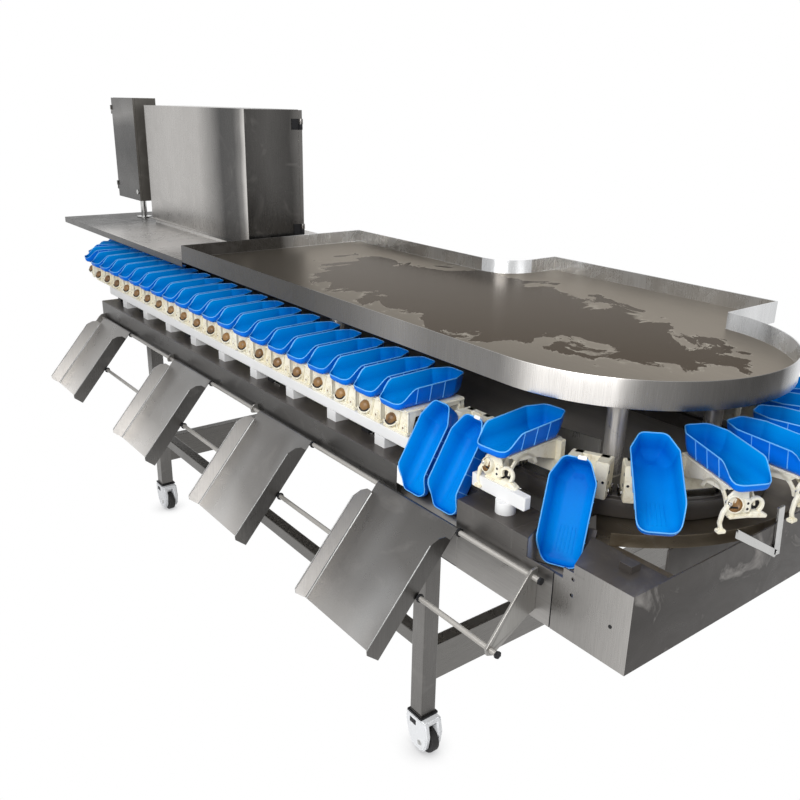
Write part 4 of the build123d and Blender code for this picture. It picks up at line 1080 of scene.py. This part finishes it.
def make_stage():
    """Plain floor that the camera sees white, with painted shadow: darker only where the object keeps light off
    it.
    """
    look = Shader("floor")
    drift = look.spread(look.noise(0.8, 2.0), 0.3, 0.7)
    look.finish(Base_Color=look.mix(drift, (0.9, 0.9, 0.9), (0.88, 0.88, 0.88)), Roughness=0.85)
    # Painted shadow: the floor's white darkens where ambient occlusion finds the object near
    close = look.add("ShaderNodeAmbientOcclusion", {"Distance": FLOOR_REACH}, samples=8)
    clear = look.spread(close.outputs["AO"], 0.15, 0.85)
    white = look.mix(clear, (0.45, 0.45, 0.46), (1.0, 1.0, 1.0))
    glow = look.add("ShaderNodeEmission", {"Color": white})
    look.show_white(look.surface.outputs["BSDF"], glow.outputs["Emission"], "Material Output")
    mesh = bpy.data.meshes.new("floor")
    corners = [(x * FLOOR_HALF, y * FLOOR_HALF, 0) for x, y in ((-1, -1), (1, -1), (1, 1), (-1, 1))]
    mesh.from_pydata(corners, [], [(0, 1, 2, 3)])
    mesh.materials.append(look.material)
    floor = put("floor", mesh)


def make_world():
    """Soft grey surround for light, white for what the camera and mirrors see."""
    world = bpy.data.worlds.new("studio")
    bpy.context.scene.world = world
    world.use_nodes = True
    nodes = Nodes(world.node_tree)
    soft = nodes.tree.nodes["Background"]
    nodes.feed(soft.inputs["Color"], SKY)
    nodes.feed(soft.inputs["Strength"], SKY_STRENGTH)
    white = nodes.add("ShaderNodeBackground", {"Color": (1.0, 1.0, 1.0), "Strength": 1.0})
    nodes.show_white(soft.outputs["Background"], white.outputs["Background"], "World Output")


def area_light(name, place, target, size, power):
    data = bpy.data.lights.new(name, "AREA")
    data.shape = "RECTANGLE"
    data.size, data.size_y = size
    data.energy = power
    lamp = put(name, data)
    lamp.location = place
    lamp.rotation_euler = (Vector(target) - Vector(place)).to_track_quat("-Z", "Y").to_euler()


def make_lights():
    area_light("key", (2.4, -3.6, 3.2), (0.9, 0.0, 0.9), (3.0, 2.2), 144.0)
    area_light("side", (5.2, 0.6, 3.4), (0.8, 0.0, 0.9), (2.4, 3.0), 32.0)
    area_light("top", (-0.4, 1.2, 5.0), (0.0, 0.0, 0.9), (4.0, 2.5), 36.0)


# Rules that pick a material for each face of a CAD node from its place and normal

# Several rules give faces that look another way a lighter or darker copy of their finish: painted light and
# shade
# A face looks along an axis when that share of its normal does
FLAT = 0.7
TABLE_FLOOR_BELOW = 1.11
FEET_BELOW = 0.863
PLINTH_BELOW = 1.1115
FRONT_BLOCKS_PAST = 1.8
CONTROL_HINGES_PAST = -1.9


def box_faces(place, normal):
    if normal.z > FLAT:
        return 0
    return 2 if normal.x > FLAT else 1


def front_faces(place, normal):
    return normal.x > FLAT


def cabinet_faces(place, normal):
    return 2 if place.z < PLINTH_BELOW else abs(normal.x) > FLAT


def chute_faces(middle):
    """Painted light: inside of the far wall light, outside of the near wall dark, plate between them."""
    def rule(place, normal):
        if abs(normal.x) < FLAT:
            return 0
        return 1 if (place.x - middle) * normal.x < 0 else 2
    return rule


# Finish and edge radius of each node
PAN = (("deck", "fascia", lambda p, n: n.z <= FLAT), 0.0018)
CABINET = ("cabinet", "cabinet_end")
CONTROL = (("control", "control_side", front_faces), 0.001)
FINISHES = {
    "side_pan_left": PAN, "side_pan_right": PAN,
    "front_box": (("deck", "box_side", "box_front", box_faces), 0.0),
    "rear_plate": ("brown_y", 0.001), "cross_tubes": ("dark", 0.003),
    "legs": (("leg", "leg_end", front_faces), 0.003),
    "stretchers": ("grey_y", 0.003), "rear_arms": ("grey_x", 0.003), "rails": ("white", 0.003),
    "rail_blocks": (("white", "deck", lambda p, n: p.x > FRONT_BLOCKS_PAST), 0.004),
    "front_turn": ("bronze", 0.001), "rear_turn": ("grey_y", 0.001),
    # inner_deck is pale, painted light under the table
    "inner_deck": ("shade", 0.0), "chain_guide": ("dark", 0.002),
    "upper_deck": (("upper", "upper_lip", lambda p, n: n.z < 0.5), 0.0015), "deck_posts": ("grey_y", 0.002),
    "table": (
        ("table_floor", "rim", lambda p, n: abs(n.z) <= FLAT or p.z >= TABLE_FLOOR_BELOW), 0.0012),
    "table_posts": (("post", "foot", lambda p, n: p.z < FEET_BELOW), 0.0015),
    "cabinet_shell": ((*CABINET, "plinth", cabinet_faces), 0.001),
    "hinges": (("black", "control", lambda p, n: p.x < CONTROL_HINGES_PAST), 0.001),
    "cabinet_door": ((*CABINET, cabinet_faces), 0.001), "cabinet_latch": ("bright", 0.001),
    "control_box": CONTROL, "control_door": CONTROL,
    "control_lock": ("bright", 0.0005), "control_post": ("bright", 0.0), "chute_rods": ("rod", 0.001),
    "rod_plates": ("plate", 0.001), "rod_clips": ("black", 0.001), "gearmotor": ("cast", 0.003),
    "drive_sprocket": ("bright", 0.001), "trip_units": ("black", 0.0015), "weigh_units": ("grey_x", 0.001),
    "bolts": ("black", 0.0005), "caster_plates": ("black", 0.001), "chain": ("bright", 0.002),
}
for side in ("left", "right"):
    for number, middle in enumerate(CHUTE_XS, 1):
        FINISHES[f"chute_{side}_{number}"] = (("chute", "chute_in", "chute_out", chute_faces(middle)), 0.0007)
    for end in ("front", "rear"):
        FINISHES[f"caster_fork_{end}_{side}"] = ("hood", 0.002)
        FINISHES[f"caster_wheel_{end}_{side}"] = ("rubber", 0.003)

for node, (finish, bevel) in FINISHES.items():
    dress(node, finish, bevel)

tray_places = stations()
make_trays(tray_places)
make_carriers(tray_places)
make_fasteners()
make_trip_flaps()
make_pockets(tray_places)
make_front_bracket()
make_folds()
make_hoods()
make_stage()
make_world()
make_lights()
make_camera()
bpy.context.scene.view_settings.view_transform = "Standard"
